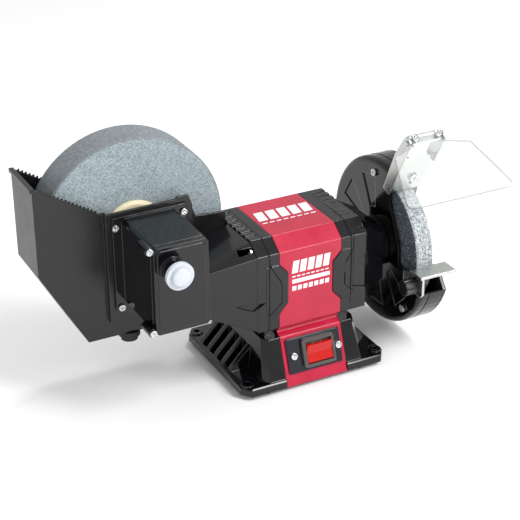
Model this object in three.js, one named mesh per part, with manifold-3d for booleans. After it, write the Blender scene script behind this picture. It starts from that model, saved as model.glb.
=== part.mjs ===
// Combined wet and dry bench grinder, modelled in millimetres with +Z up.
// +X runs along the motor shaft towards the dry wheel and -Y is the operator's side.
// Every dimension is written from the motor axis and the base rim; the last lines put the
// origin under the middle of the whole machine.

import * as THREE from 'three';
import { ConvexGeometry } from 'three/addons/geometries/ConvexGeometry.js';
import * as BufferGeometryUtils from 'three/addons/utils/BufferGeometryUtils.js';
import Module from 'manifold-3d';

const wasm = await Module();
wasm.setup();

// ---------------------------------------------------------------- driving dimensions

const TOUCH_GAP = 0.35; // between pieces that rest on each other
const RUN_GAP = 0.5; // round a turning piece
const BEARING_GAP = 0.06; // radial, between a journal and its bush

// motor body
const AXIS_Z = 106.2; // motor shaft above the base rim
const BODY_HALF = 56.4; // shaft to the front face and to the top
const CHAMFER_RUN = 16.8; // front chamfer, along Y
const CHAMFER_DROP = 12.7; // front chamfer, along Z
const BODY_BOTTOM_Z = 63.2;
const WRAP_HALF = 36.3; // half width of the red sheet
const WRAP_WALL = 2;
const WAIST_DEPTH = 10; // how far the bells' panels bite into the sheet
const WAIST_TOP_Z = 137;
const WAIST_BOTTOM_Z = 80;
const WAIST_SLOPE = 11;
const BELL_WALL = 3;
const LEFT_BELL_END = -61.5;
const RIGHT_BELL_END = 66.8;
const SLOT_COUNT = 7;
const SLOT_WIDTH = 3.2;
const SLOT_PITCH = 10.2;
const NECK_BACK_Y = 9.6;
const LEFT_NECK_TOP_Z = 144;
const LEFT_NECK_BOTTOM_Z = 97.5;
const RIGHT_NECK_END = 101;
const RIGHT_NECK_HALF = 36;

// base
const BASE_HALF_X = 86;
const BASE_HALF_Y = 74.5;
const RIM_HEIGHT = 9;
const RIM_CORNER = 11;
const PEDESTAL_TOP_Z = 52;
const PEDESTAL_TOP_HALF_Y = 57;
const PEDESTAL_FOOT_HALF_X = 62;
const PEDESTAL_TOP_HALF_X = 55;
const PEDESTAL_WALL = 3;
const COVE_DEPTH = 5.9; // the waist between body and pedestal, behind the body's front face
const COVE_HALF_Y = BODY_HALF - COVE_DEPTH;
const FIN_COUNT = 5;
const FIN_PITCH = 17;
const FIN_THICKNESS = 7;
const FIN_TOP_Z = 34;
const LUG_HOLE_RADIUS = 3.4;
const LUG_HOLE_X = 77;
const LUG_HOLE_Y = 62;
const FOOT_RADIUS = 8.5;
const FOOT_HEIGHT = 5;
const FOOT_X = 56;
const FOOT_Y = 61;
const BASE_PLATE_THICKNESS = 1.5;

// switch
const SWITCH_PLATE_HALF_X = 32;
const SWITCH_PLATE_LENGTH = 38;
const SWITCH_PLATE_THICKNESS = 2;
const SWITCH_CENTRE_UP = 32; // along the sloped panel from its foot
const BOOT_HALF_X = 19;
const BOOT_CENTRE_X = 4;
const BOOT_LENGTH = 31;
const BOOT_PROUD = 4.5;
const BOOT_WALL = 3.5;
const BOOT_LIP = 1.6; // how far the boot's flange laps over the plate
const SWITCH_BODY_DEPTH = 15;
const ROCKER_TILT = 9; // degrees, the rocker rests at one end of its travel
const ROCKER_GAP = 0.6;
const PLATE_SCREW_X = 26.6;
const PLATE_SCREW_OFFSET = 1.6; // the pair of screws sits a little to the right

// motor innards
const SHAFT_RADIUS = 6;
const STATOR_COVER = 7.4; // from the stator's rim to the body's front face
const STATOR_OUTER_RADIUS = BODY_HALF - STATOR_COVER;
const STATOR_INNER_RADIUS = 29;
const STATOR_HALF_X = 26;
const WINDING_LENGTH = 13;
const ROTOR_RADIUS = 28.4;
const BEARING_OUTER_RADIUS = 15;
const BEARING_WIDTH = 10;
const CAPACITOR_RADIUS = 14;
const CAPACITOR_LENGTH = 54;

// wet side
const WET_X = -163.5;
const WET_Z = 172.2;
const WET_RADIUS = 100;
const WET_FRONT_Y = 20;
const WET_WIDTH = 40;
const WET_BORE_RADIUS = 16;
const HUB_RADIUS = 34;
const HUB_PROUD = 4.6;
const HUB_BACK = 2;
const AXLE_NUT_WIDTH = 17;
const AXLE_NUT_LENGTH = 4.6;
const AXLE_RADIUS = 6;
const BOX_LEFT_X = -182.8;
const BOX_RIGHT_X = -123.8;
const BOX_FRONT_Y = -74.8;
const BOX_BACK_Y = 10;
const BOX_BOTTOM_Z = 101.5;
const BOX_TOP_Z = 196.8;
const BOX_WALL = 2.5;
const BOX_COVER_THICKNESS = 6.5;
const SUMP_BOTTOM_Z = 90; // the deeper part of the box round the motor pulley
const SUMP_TOP_Z = 124;
const SUMP_LEFT_X = -146;
const SUMP_FRONT_Y = -18;
const SUMP_BACK_Y = 15.6;
const FLANGE_THICKNESS = 2.6;
const FLANGE_FRONT_Y = 2.2;
const TUBE_RADIUS = 10.5;
const TUBE_LENGTH = 15;
const CAP_RADIUS = 14.5;
const CAP_FLANGE = 4;
const CAP_BUTTON_RADIUS = 9.8;
const CAP_BUTTON = 3;

// drive train: belt from the motor shaft to the worm shaft, then worm and worm wheel
const WORM_TEETH = 20;
const GEAR_MODULE = 1.5;
const WORM_RADIUS = 7; // pitch
const MESH_Y = -24; // worm shaft and worm wheel plane
const WORM_LENGTH = 21;
const WORM_WHEEL_WIDTH = 8;
const PULLEY_RADIUS = 9; // on the motor shaft
const PULLEY_RATIO = 1.1; // worm pulley over motor pulley
const PULLEY_WIDTH = 9;
const PULLEY_X = -134;
const BELT_THICKNESS = 2;
const WORM_SHAFT_RADIUS = 4;

// water trough
const TROUGH_LEFT_X = -270;
const TROUGH_RIGHT_X = -64.4;
const TROUGH_FRONT_Y = 10.5;
const TROUGH_BACK_Y = 71;
const TROUGH_BOTTOM_Z = 62;
const TROUGH_TOP_Z = 244;
const TROUGH_WALL = 2.4;
const FLANGE_STEP_Y = 5.2; // front of the stepped-out part where the gearbox bolts on
const STEP_LEFT_X = -199;
const STEP_RIGHT_X = -104;
const STEP_BOTTOM_Z = 82;
const STEP_SHELF_Z = 156; // right of the box the step starts above the neck
const TOOTH_COUNT = 16;
const PLUG_X = -174;
const PLUG_Y = 19;
const PLUG_RADIUS = 11.5;
const PLUG_STEM_RADIUS = 7;
const PLUG_HEIGHT = 11;

// dry side
const DRY_LEFT_X = 119;
const DRY_WIDTH = 20;
const DRY_RADIUS = 75;
const DRY_BORE_RADIUS = 8;
const GUARD_LEFT_X = 114;
const GUARD_RIGHT_X = 144;
const GUARD_RADIUS = 93.5;
const GUARD_WALL = 2.2;
const LIP_ANGLE = -18; // lower end of the guard, degrees above the operator's side
const ROOF_ANGLE = 70; // upper end of the guard
const COVER_DEPTH = 4;
const FLANGE_RADIUS = 24;
const DRY_NUT_WIDTH = 17;

// tool rest
const REST_X = 107.5;
const REST_WIDTH = 43.5;
const REST_FRONT_Y = -101;
const REST_DEPTH = 21.5;
const REST_THICKNESS = 3;
const REST_LEG = 26;
const KNOB_RADIUS = 8.8;
const KNOB_LENGTH = 14;
const KNOB_Y = -85;
const KNOB_Z = 90;

// eye shield and its bracket
const BRACKET_LEFT_X = 107;
const BRACKET_WIDTH = 43;
const BRACKET_SHEET = 2;
const BRACKET_LEAN = 24; // degrees forward of upright
const BRACKET_FOOT_Y = -34.5;
const BRACKET_FOOT_Z = 179;
const BRACKET_PLATE = 46;
const BRACKET_EAR = 12;
const HINGE_Y = -63.9;
const HINGE_Z = 244.8;
const SHIELD_ANGLE = 61.3; // from hanging straight down
const SHIELD_LENGTH = 81;
const SHIELD_NECK = 16.5; // where the sheet reaches its upper width
const SHIELD_NECK_HALF = 46.2;
const SHIELD_HALF = 62.4;
const SHIELD_SHEET = 3;
const SHIELD_CORNER = 8;

// ---------------------------------------------------------------- helpers

const rad = THREE.MathUtils.degToRad;
const machine = new THREE.Group();

function solid(geometry) {
  const bare = geometry.index ? geometry.toNonIndexed() : geometry.clone();
  bare.deleteAttribute('normal');
  bare.deleteAttribute('uv');
  const merged = BufferGeometryUtils.mergeVertices(bare, 1e-4);
  return new wasm.Manifold(new wasm.Mesh({
    numProp: 3,
    vertProperties: new Float32Array(merged.attributes.position.array),
    triVerts: new Uint32Array(merged.index.array),
  }));
}

function geometryOf(manifold) {
  const mesh = manifold.getMesh();
  const geometry = new THREE.BufferGeometry();
  geometry.setAttribute('position', new THREE.BufferAttribute(new Float32Array(mesh.vertProperties), 3));
  geometry.setIndex(new THREE.BufferAttribute(new Uint32Array(mesh.triVerts), 1));
  geometry.computeVertexNormals();
  return geometry;
}

function box(x0, x1, y0, y1, z0, z1) {
  const geometry = new THREE.BoxGeometry(x1 - x0, y1 - y0, z1 - z0);
  geometry.translate((x0 + x1) / 2, (y0 + y1) / 2, (z0 + z1) / 2);
  return solid(geometry);
}

// A convex solid through a list of [x, y, z] corners.
function hull(points) {
  return solid(new ConvexGeometry(points.map((p) => new THREE.Vector3(...p))));
}

// Cylinders along each axis; a and b are the coordinates across the axis, in X, Y, Z order.
function rodX(y, z, radius, x0, x1, sides = 24) {
  const geometry = new THREE.CylinderGeometry(radius, radius, x1 - x0, sides);
  geometry.rotateZ(-Math.PI / 2);
  geometry.translate((x0 + x1) / 2, y, z);
  return solid(geometry);
}

function rodY(x, z, radius, y0, y1, sides = 24) {
  const geometry = new THREE.CylinderGeometry(radius, radius, y1 - y0, sides);
  geometry.translate(x, (y0 + y1) / 2, z);
  return solid(geometry);
}

function rodZ(x, y, radius, z0, z1, sides = 24) {
  const geometry = new THREE.CylinderGeometry(radius, radius, z1 - z0, sides);
  geometry.rotateX(Math.PI / 2);
  geometry.translate(x, y, (z0 + z1) / 2);
  return solid(geometry);
}

function outline(points) {
  return new THREE.Shape(points.map(([u, v]) => new THREE.Vector2(u, v)));
}

// Prisms: an outline in the YZ plane pushed along X, or one in the XZ plane pushed along Y.
function prismX(points, x0, x1) {
  const shape = points instanceof THREE.Shape ? points : outline(points);
  const geometry = new THREE.ExtrudeGeometry(shape, { depth: x1 - x0, bevelEnabled: false,
    curveSegments: 10 });
  geometry.applyMatrix4(new THREE.Matrix4().set(0, 0, 1, x0, 1, 0, 0, 0, 0, 1, 0, 0, 0, 0, 0, 1));
  return solid(geometry);
}

function prismY(points, y0, y1) {
  const shape = points instanceof THREE.Shape ? points : outline(points);
  const geometry = new THREE.ExtrudeGeometry(shape, { depth: y1 - y0, bevelEnabled: false,
    curveSegments: 10 });
  geometry.applyMatrix4(new THREE.Matrix4().set(1, 0, 0, 0, 0, 0, -1, y1, 0, 1, 0, 0, 0, 0, 0, 1));
  return solid(geometry);
}

function join(first, ...others) {
  return others.reduce((sum, piece) => sum.add(piece), first);
}

function cut(first, ...others) {
  return others.reduce((rest, piece) => rest.subtract(piece), first);
}

function placed(manifold, matrix) {
  const geometry = geometryOf(manifold);
  geometry.applyMatrix4(matrix);
  return solid(geometry);
}

function add(name, manifold, material, position = null) {
  const mesh = new THREE.Mesh(geometryOf(manifold), material);
  mesh.name = name;
  if (position) mesh.position.set(...position);
  machine.add(mesh);
}

function material(color, roughness, metalness = 0, opacity = 1) {
  return new THREE.MeshStandardMaterial({ color, roughness, metalness, opacity, transparent: opacity < 1 });
}

const blackPlastic = material(0x17171a, 0.4);
const redSheet = material(0xb81535, 0.35);
const navyPlate = material(0x14161e, 0.4);
const bootGrey = material(0x6a6764, 0.3);
const rockerRed = material(0xc8140c, 0.2);
const zinc = material(0xb9bdb8, 0.35, 0.9);
const steel = material(0x9a9ca0, 0.35, 0.9);
const copper = material(0xb0683a, 0.4, 0.8);
const lamination = material(0x5a5d62, 0.5, 0.8);
const wetStone = material(0x87949a, 0.95);
const dryStone = material(0x7f8790, 0.95);
const creamPlastic = material(0xeee3b8, 0.5);
const whiteCap = material(0xe9ecef, 0.35);
const rubber = material(0x101012, 0.85);
const clearSheet = material(0xe8eef0, 0.05, 0, 0.25);
const gearSteel = material(0x7d7f84, 0.4, 0.9);
const bronze = material(0xa9793a, 0.4, 0.8);

// A cross-recessed screw along +Z with its head's seat at z = 0.
function screw(headRadius, headHeight, shankRadius, shankLength) {
  const head = rodZ(0, 0, headRadius, 0, headHeight, 16);
  const recess = headRadius * 0.62;
  const width = headRadius * 0.16;
  const depth = headHeight * 0.55;
  const slots = join(
    box(-recess, recess, -width, width, headHeight - depth, headHeight + 1),
    box(-width, width, -recess, recess, headHeight - depth, headHeight + 1),
  );
  return cut(join(head, rodZ(0, 0, shankRadius, -shankLength, 0.01, 12)), slots);
}

function turnedTo(direction, origin) {
  const turn = new THREE.Quaternion().setFromUnitVectors(new THREE.Vector3(0, 0, 1), direction);
  return new THREE.Matrix4().compose(new THREE.Vector3(...origin), turn, new THREE.Vector3(1, 1, 1));
}

function addScrew(name, origin, direction, sizes, finish = zinc) {
  add(name, placed(screw(...sizes), turnedTo(direction.clone().normalize(), origin)), finish);
}

const LEFTWARD = new THREE.Vector3(-1, 0, 0);
const FORWARD = new THREE.Vector3(0, -1, 0);

// ---------------------------------------------------------------- motor body

const BODY_TOP_Z = AXIS_Z + BODY_HALF;
const SHOULDER_Z = BODY_TOP_Z - CHAMFER_DROP;
const TOP_HALF_Y = BODY_HALF - CHAMFER_RUN;

// The body's section in the YZ plane, shrunk by inset all round.
function bodySection(inset) {
  const half = BODY_HALF - inset;
  const top = BODY_TOP_Z - inset;
  const slope = Math.hypot(CHAMFER_RUN, CHAMFER_DROP);
  const alongTop = inset * (slope - CHAMFER_DROP) / CHAMFER_RUN;
  const alongSide = inset * (slope - CHAMFER_RUN) / CHAMFER_DROP;
  const bottom = BODY_BOTTOM_Z + inset;
  return [
    [-half, bottom], [-half, SHOULDER_Z - alongSide], [-TOP_HALF_Y + alongTop, top],
    [TOP_HALF_Y - alongTop, top], [half, SHOULDER_Z - alongSide], [half, bottom],
  ];
}

// The hexagonal bites in the sheet's sides, filled by the bells' panels.
function waist(side, inset, y0, y1) {
  const edge = side * (WRAP_HALF + 15);
  const near = side * (WRAP_HALF + inset);
  const deep = side * (WRAP_HALF - WAIST_DEPTH + inset);
  const points = [
    [edge, WAIST_TOP_Z - inset], [near, WAIST_TOP_Z - inset], [deep, WAIST_TOP_Z - WAIST_SLOPE - inset],
    [deep, WAIST_BOTTOM_Z + WAIST_SLOPE + inset], [near, WAIST_BOTTOM_Z + inset],
      [edge, WAIST_BOTTOM_Z + inset],
  ];
  return prismY(points, y0, y1);
}

function eachWaist(side, inset, proud, depth) {
  return join(
    waist(side, inset, -BODY_HALF - proud, -BODY_HALF + depth),
    waist(side, inset, BODY_HALF - depth, BODY_HALF + proud),
  );
}

// Red sheet: one strip over the front panel, cove, front face, top and back.
const COVE_LOW_Z = PEDESTAL_TOP_Z + 3.5;
const COVE_HIGH_Z = PEDESTAL_TOP_Z + 6;

function wrapSection() {
  const t = WRAP_WALL;
  const [, , , innerTop, innerSide] = bodySection(t);
  const outer = [
    [BASE_HALF_Y, 0], [PEDESTAL_TOP_HALF_Y, PEDESTAL_TOP_Z - 0.5], [COVE_HALF_Y, COVE_LOW_Z],
    [COVE_HALF_Y, COVE_HIGH_Z], [BODY_HALF, BODY_BOTTOM_Z + 0.5], [BODY_HALF, SHOULDER_Z],
      [TOP_HALF_Y, BODY_TOP_Z],
  ];
  const inner = [
    innerTop, innerSide, [BODY_HALF - t, BODY_BOTTOM_Z + 1.6], [COVE_HALF_Y - t, COVE_HIGH_Z + 1.2],
    [COVE_HALF_Y - t, COVE_LOW_Z - 1.4], [PEDESTAL_TOP_HALF_Y - t, PEDESTAL_TOP_Z - 1.8],
    [BASE_HALF_Y - t - 0.12, 0],
  ];
  const front = (list) => list.map(([y, z]) => [-y, z]);
  return [...front(outer), ...[...outer].reverse(), ...[...inner].reverse(), ...front(inner)];
}

// Frame of the sloped front panel: x across, y up the slope, z out of it.
const panelUp = new THREE.Vector3(0, BASE_HALF_Y - PEDESTAL_TOP_HALF_Y, PEDESTAL_TOP_Z - 0.5).normalize();
const panelOut = new THREE.Vector3(1, 0, 0).cross(panelUp);
const panelMatrix = new THREE.Matrix4().makeBasis(new THREE.Vector3(1, 0, 0), panelUp, panelOut)
  .setPosition(0, -BASE_HALF_Y, 0);
const onPanel = (manifold) => placed(manifold, panelMatrix);

function switchBox(half, length, from, to, centreX = BOOT_CENTRE_X) {
  return box(centreX - half, centreX + half, SWITCH_CENTRE_UP - length / 2, SWITCH_CENTRE_UP + length / 2,
    from, to);
}

const BODY_WINDOW_HALF = BOOT_HALF_X - BOOT_LIP;
const BODY_WINDOW_LENGTH = BOOT_LENGTH - 2 * BOOT_LIP;
const switchWindow = onPanel(switchBox(
  BODY_WINDOW_HALF + TOUCH_GAP, BODY_WINDOW_LENGTH + 2 * TOUCH_GAP, -SWITCH_BODY_DEPTH - 3, 6,
));
const SCREW_SHANK = 1.7;
const plateScrewXs = [PLATE_SCREW_OFFSET - PLATE_SCREW_X, PLATE_SCREW_OFFSET + PLATE_SCREW_X];
const plateScrewHoles = plateScrewXs.map((x) => onPanel(
  rodZ(x, SWITCH_CENTRE_UP, SCREW_SHANK + TOUCH_GAP, -8, 6, 12),
));

const wrap = cut(
  prismX(wrapSection(), -WRAP_HALF, WRAP_HALF), eachWaist(-1, 0, 5, 6), eachWaist(1, 0, 5, 6),
  switchWindow, ...plateScrewHoles,
);
add('body_wrap', wrap, redSheet);

// End bells: outer shell, a sleeve under the sheet, vent slots, bearing seat and neck.
const SLEEVE_INSET = WRAP_WALL + TOUCH_GAP;
const SLEEVE_WALL = 2.5;
const PANEL_PROUD = 0.8;
const statorWell = rodX(0, AXIS_Z, STATOR_OUTER_RADIUS + TOUCH_GAP, -STATOR_HALF_X - WINDING_LENGTH - 2,
  STATOR_HALF_X + WINDING_LENGTH + 2, 48);

function bellShell(side, end) {
  const inner = side * (WRAP_HALF + TOUCH_GAP);
  const between = (a, b) => [Math.min(a, b), Math.max(a, b)];
  const shell = prismX(bodySection(0), ...between(end, inner));
  const sleeve = prismX(bodySection(SLEEVE_INSET), ...between(inner - side, side * TOUCH_GAP / 2));
  const hollow = prismX(bodySection(BELL_WALL), ...between(end - side * BELL_WALL, inner + side * 0.8));
  const sleeveHollow = prismX(
    bodySection(SLEEVE_INSET + SLEEVE_WALL), ...between(inner + side * 2, 0),
  );
  const panels = eachWaist(side, TOUCH_GAP, PANEL_PROUD, SLEEVE_INSET + 1);
  return cut(join(shell, sleeve, panels), hollow, sleeveHollow, statorWell);
}

const SEAM_WIDTH = 0.8;
const SEAM_FROM_SHEET = 12;
function ventSlots(side, end) {
  const inner = side * (WRAP_HALF + SEAM_FROM_SHEET + SEAM_WIDTH + 1);
  const x0 = Math.min(inner, end + side);
  const x1 = Math.max(inner, end + side);
  return Array.from({ length: SLOT_COUNT }, (_, i) => {
    const y = (i - (SLOT_COUNT - 1) / 2) * SLOT_PITCH;
    return box(x0, x1, y - SLOT_WIDTH / 2, y + SLOT_WIDTH / 2, BODY_TOP_Z - BELL_WALL + 1.2, BODY_TOP_Z + 1);
  });
}

function seam(side) {
  const at = side * (WRAP_HALF + SEAM_FROM_SHEET);
  const ring = prismX(bodySection(-1), at - SEAM_WIDTH / 2, at + SEAM_WIDTH / 2);
  return cut(ring, prismX(bodySection(0.8), at - 1, at + 1));
}

// Left neck: a hollow taper from the bell to the gearbox.
const leftNeckEnd = BOX_RIGHT_X + TOUCH_GAP;
function leftNeck(inset) {
  const front = -BODY_HALF + 0.6 + inset;
  const back = NECK_BACK_Y - inset * 0.85;
  const x0 = leftNeckEnd - (inset ? 1 : 0);
  const x1 = LEFT_BELL_END + (inset ? -0.01 : 0.5);
  const high = BODY_TOP_Z - 2 - inset;
  return hull([
    [x1, front, BODY_BOTTOM_Z + 1 + inset], [x1, front, SHOULDER_Z - 0.6 - inset],
    [x1, -TOP_HALF_Y, high], [x1, back, high], [x1, back, BODY_BOTTOM_Z + 1 + inset],
    [x0, front, LEFT_NECK_BOTTOM_Z + inset * 0.8], [x0, front, LEFT_NECK_TOP_Z - inset],
    [x0, -TOP_HALF_Y, LEFT_NECK_TOP_Z + 4 - inset], [x0, back, LEFT_NECK_TOP_Z + 4 - inset],
    [x0, back, LEFT_NECK_BOTTOM_Z + inset * 0.8],
  ]);
}

function rightNeck(inset) {
  const x0 = RIGHT_BELL_END - (inset ? -0.01 : 0.5);
  const x1 = RIGHT_NECK_END + (inset ? 1 : 0);
  const wide = BODY_HALF - 13 - inset;
  const slim = RIGHT_NECK_HALF - inset;
  return hull([-1, 1].flatMap((s) => [
    [x0, s * wide, BODY_BOTTOM_Z + 5 + inset], [x0, s * wide, SHOULDER_Z - inset],
    [x0, s * (wide - 10), SHOULDER_Z + 6 - inset],
    [x1, s * slim, AXIS_Z - 28 + inset], [x1, s * slim, AXIS_Z + 26 - inset],
      [x1, s * (slim - 8), AXIS_Z + 32 - inset],
  ]));
}

const BOLT_RADIUS = 2.4;
const POCKET_RADIUS = 5.5;
const POCKET_Y = -44;
const POCKET_Z = 151.5;
const POCKET_LENGTH = 17;
const NECK_WALL = 2.6;
const SEAT_WALL = 4;
const SHAFT_HOLE = SHAFT_RADIUS + RUN_GAP + 0.5;
const LEFT_BEARING_X = LEFT_BELL_END + BELL_WALL + TOUCH_GAP;
const RIGHT_BEARING_X = RIGHT_BELL_END - BELL_WALL - TOUCH_GAP - BEARING_WIDTH;

function bearingSeat(x0, x1) {
  return cut(
    rodX(0, AXIS_Z, BEARING_OUTER_RADIUS + SEAT_WALL, x0, x1, 32),
    rodX(0, AXIS_Z, BEARING_OUTER_RADIUS + TOUCH_GAP, x0 - 1, x1 + 1, 32),
  );
}

const chevronGroove = (points) => prismY(points, -BODY_HALF - 3, -BODY_HALF - PANEL_PROUD + 1.6);
const grooveLine = (list, width) => {
  const right = list.map(([x, z]) => [x + width, z]);
  return chevronGroove([...list, ...right.reverse()]);
};
const leftGroove = grooveLine([
  [-48.6, 148], [-46.8, 136], [-34.5, 115.6], [-34.5, 92.3], [-48.6, 80.9], [-49, 64],
], 0.9);
const rightGrooveTop = grooveLine([[51, 148], [51, 136], [41, 121]], 0.9);
const rightGrooveLow = grooveLine([[40.5, 110], [40.5, 96], [52, 85]], 0.9);
const leftArrow = prismY([[-87, 100], [-52, 96.5], [-66, 89.5]], -BODY_HALF - 1, -BODY_HALF + 2.4);
const rightPanel = prismY([[51, 119], [70, 127], [70, 86], [51, 91]], -BODY_HALF - 2, -BODY_HALF + 1.6);

const pocket = join(
  rodX(POCKET_Y, POCKET_Z, POCKET_RADIUS, LEFT_BELL_END - POCKET_LENGTH, LEFT_BELL_END + 0.2, 20),
  rodX(POCKET_Y, POCKET_Z, BOLT_RADIUS + TOUCH_GAP, LEFT_BELL_END - 2, LEFT_BELL_END + 10, 12),
);
const leftBell = cut(
  join(
    bellShell(-1, LEFT_BELL_END), cut(leftNeck(0), leftNeck(NECK_WALL)),
    bearingSeat(LEFT_BELL_END + BELL_WALL - 0.5, LEFT_BEARING_X + BEARING_WIDTH),
  ),
  rodX(0, AXIS_Z, SHAFT_HOLE, LEFT_BELL_END - 3, LEFT_BELL_END + 5), ...ventSlots(-1, LEFT_BELL_END),
  seam(-1), leftGroove, leftArrow, pocket,
);
add('left_end_bell', leftBell, blackPlastic);

const GUARD_BOSS_RADIUS = 28;
const rightBell = cut(
  join(
    bellShell(1, RIGHT_BELL_END), cut(rightNeck(0), rightNeck(NECK_WALL)),
    bearingSeat(RIGHT_BEARING_X, RIGHT_BELL_END - BELL_WALL + 0.5),
    rodX(0, AXIS_Z, GUARD_BOSS_RADIUS, RIGHT_NECK_END - 3, GUARD_LEFT_X - TOUCH_GAP, 40),
  ),
  rodX(0, AXIS_Z, SHAFT_HOLE, RIGHT_BELL_END - 5, GUARD_LEFT_X + 1), ...ventSlots(1, RIGHT_BELL_END),
  seam(1), rightGrooveTop, rightGrooveLow, rightPanel,
);
add('right_end_bell', rightBell, blackPlastic);

addScrew('bell_bolt', [LEFT_BELL_END - 0.2, POCKET_Y, POCKET_Z], LEFTWARD, [4.2, 3.2, BOLT_RADIUS, 8], zinc);

// ---------------------------------------------------------------- motor innards

add('stator_core', cut(
  rodX(0, AXIS_Z, STATOR_OUTER_RADIUS, -STATOR_HALF_X, STATOR_HALF_X, 40),
  rodX(0, AXIS_Z, STATOR_INNER_RADIUS, -STATOR_HALF_X - 1, STATOR_HALF_X + 1, 40),
), lamination);

function windingHead(x0, x1) {
  return cut(
    rodX(0, AXIS_Z, STATOR_OUTER_RADIUS - 5, x0, x1, 32),
    rodX(0, AXIS_Z, STATOR_INNER_RADIUS + 2, x0 - 1, x1 + 1, 32),
  );
}
const windingStart = STATOR_HALF_X + TOUCH_GAP;
add('winding_left', windingHead(-windingStart - WINDING_LENGTH, -windingStart), copper);
add('winding_right', windingHead(windingStart, windingStart + WINDING_LENGTH), copper);

add('rotor_core', cut(
  rodX(0, AXIS_Z, ROTOR_RADIUS, -STATOR_HALF_X - 1, STATOR_HALF_X + 1, 36),
  rodX(0, AXIS_Z, SHAFT_RADIUS + TOUCH_GAP, -STATOR_HALF_X - 2, STATOR_HALF_X + 2),
), lamination);

function bearing(x0) {
  return cut(
    rodX(0, AXIS_Z, BEARING_OUTER_RADIUS, x0, x0 + BEARING_WIDTH, 32),
    rodX(0, AXIS_Z, SHAFT_RADIUS + BEARING_GAP, x0 - 1, x0 + BEARING_WIDTH + 1),
  );
}
add('bearing_left', bearing(LEFT_BEARING_X), steel);
add('bearing_right', bearing(RIGHT_BEARING_X), steel);

const SHAFT_LEFT_END = PULLEY_X - PULLEY_WIDTH / 2 - 1.5;
const dryFlangeEnd = DRY_LEFT_X + DRY_WIDTH + TOUCH_GAP + 2.4;
const SHAFT_RIGHT_END = dryFlangeEnd + 8;
add('motor_shaft', rodX(0, AXIS_Z, SHAFT_RADIUS, SHAFT_LEFT_END, SHAFT_RIGHT_END), steel);

// ---------------------------------------------------------------- base

const mirrorPairs = [[-1, -1], [1, -1], [-1, 1], [1, 1]];

function chamferedBlock(halfX, halfY, corner, z) {
  return mirrorPairs.flatMap(([sx, sy]) => [
    [sx * halfX, sy * (halfY - corner), z], [sx * (halfX - corner * 0.7), sy * halfY, z],
  ]);
}

const PEDESTAL_CORNER = 8;
const HOLLOW_CORNER = 4;
const rim = hull([
  ...chamferedBlock(BASE_HALF_X, BASE_HALF_Y, RIM_CORNER, 0),
  ...chamferedBlock(BASE_HALF_X, BASE_HALF_Y, RIM_CORNER, RIM_HEIGHT - 1.5),
  ...chamferedBlock(BASE_HALF_X - 1.5, BASE_HALF_Y - 1.5, RIM_CORNER, RIM_HEIGHT),
]);
const pedestal = hull([
  ...chamferedBlock(PEDESTAL_FOOT_HALF_X, BASE_HALF_Y, PEDESTAL_CORNER, 0),
  ...chamferedBlock(PEDESTAL_TOP_HALF_X, PEDESTAL_TOP_HALF_Y, PEDESTAL_CORNER, PEDESTAL_TOP_Z),
]);
const pedestalHollow = hull([
  ...chamferedBlock(PEDESTAL_FOOT_HALF_X - PEDESTAL_WALL, BASE_HALF_Y - PEDESTAL_WALL - 3, HOLLOW_CORNER, -1),
  ...chamferedBlock(PEDESTAL_TOP_HALF_X - PEDESTAL_WALL, PEDESTAL_TOP_HALF_Y - PEDESTAL_WALL - 3,
    HOLLOW_CORNER,
    PEDESTAL_TOP_Z - PEDESTAL_WALL),
]);
const COLLAR_HALF_X = 50;
const COLLAR_HALF_Y = COVE_HALF_Y - WRAP_WALL - TOUCH_GAP;
const collar = box(-COLLAR_HALF_X, COLLAR_HALF_X, -COLLAR_HALF_Y, COLLAR_HALF_Y,
  PEDESTAL_TOP_Z - 1, BODY_BOTTOM_Z - TOUCH_GAP);
const collarHollow = box(-COLLAR_HALF_X + PEDESTAL_WALL, COLLAR_HALF_X - PEDESTAL_WALL,
  -COLLAR_HALF_Y + PEDESTAL_WALL, COLLAR_HALF_Y - PEDESTAL_WALL, PEDESTAL_TOP_Z - PEDESTAL_WALL - 1,
    BODY_BOTTOM_Z + 1);

const FIN_CENTRE_Y = 6;
const fins = [-1, 1].flatMap((side) => Array.from({ length: FIN_COUNT }, (_, i) => {
  const y = FIN_CENTRE_Y + (i - (FIN_COUNT - 1) / 2) * FIN_PITCH;
  const foot = BASE_HALF_X - 4;
  const points = [
    [side * 53, RIM_HEIGHT - 2], [side * foot, RIM_HEIGHT - 2], [side * (foot - 1), RIM_HEIGHT + 2],
    [side * (PEDESTAL_TOP_HALF_X + 3.5), FIN_TOP_Z], [side * 53, FIN_TOP_Z],
  ];
  return prismY(points, y - FIN_THICKNESS / 2, y + FIN_THICKNESS / 2);
}));

// Room for the red sheet in front of and behind the base.
const clear = TOUCH_GAP + 0.05;
const sheetRoom = [-1, 1].map((side) => prismX([
  [side * 100, -2], [side * (BASE_HALF_Y - WRAP_WALL - 0.12 + 0.7 - clear), -2],
  [side * (PEDESTAL_TOP_HALF_Y - WRAP_WALL - clear), PEDESTAL_TOP_Z - 2.1],
  [side * (COVE_HALF_Y - WRAP_WALL - clear), COVE_LOW_Z - 1.7],
  [side * (COVE_HALF_Y - WRAP_WALL - clear), BODY_BOTTOM_Z + 2], [side * 100, BODY_BOTTOM_Z + 2],
], -WRAP_HALF - TOUCH_GAP, WRAP_HALF + TOUCH_GAP));

const lugBosses = mirrorPairs.map(([sx, sy]) => rodZ(sx * LUG_HOLE_X, sy * LUG_HOLE_Y, 7, 2,
  RIM_HEIGHT + 1.5, 20));
const lugHoles = mirrorPairs.map(([sx, sy]) => rodZ(sx * LUG_HOLE_X, sy * LUG_HOLE_Y, LUG_HOLE_RADIUS, -1,
  20, 16));

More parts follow.
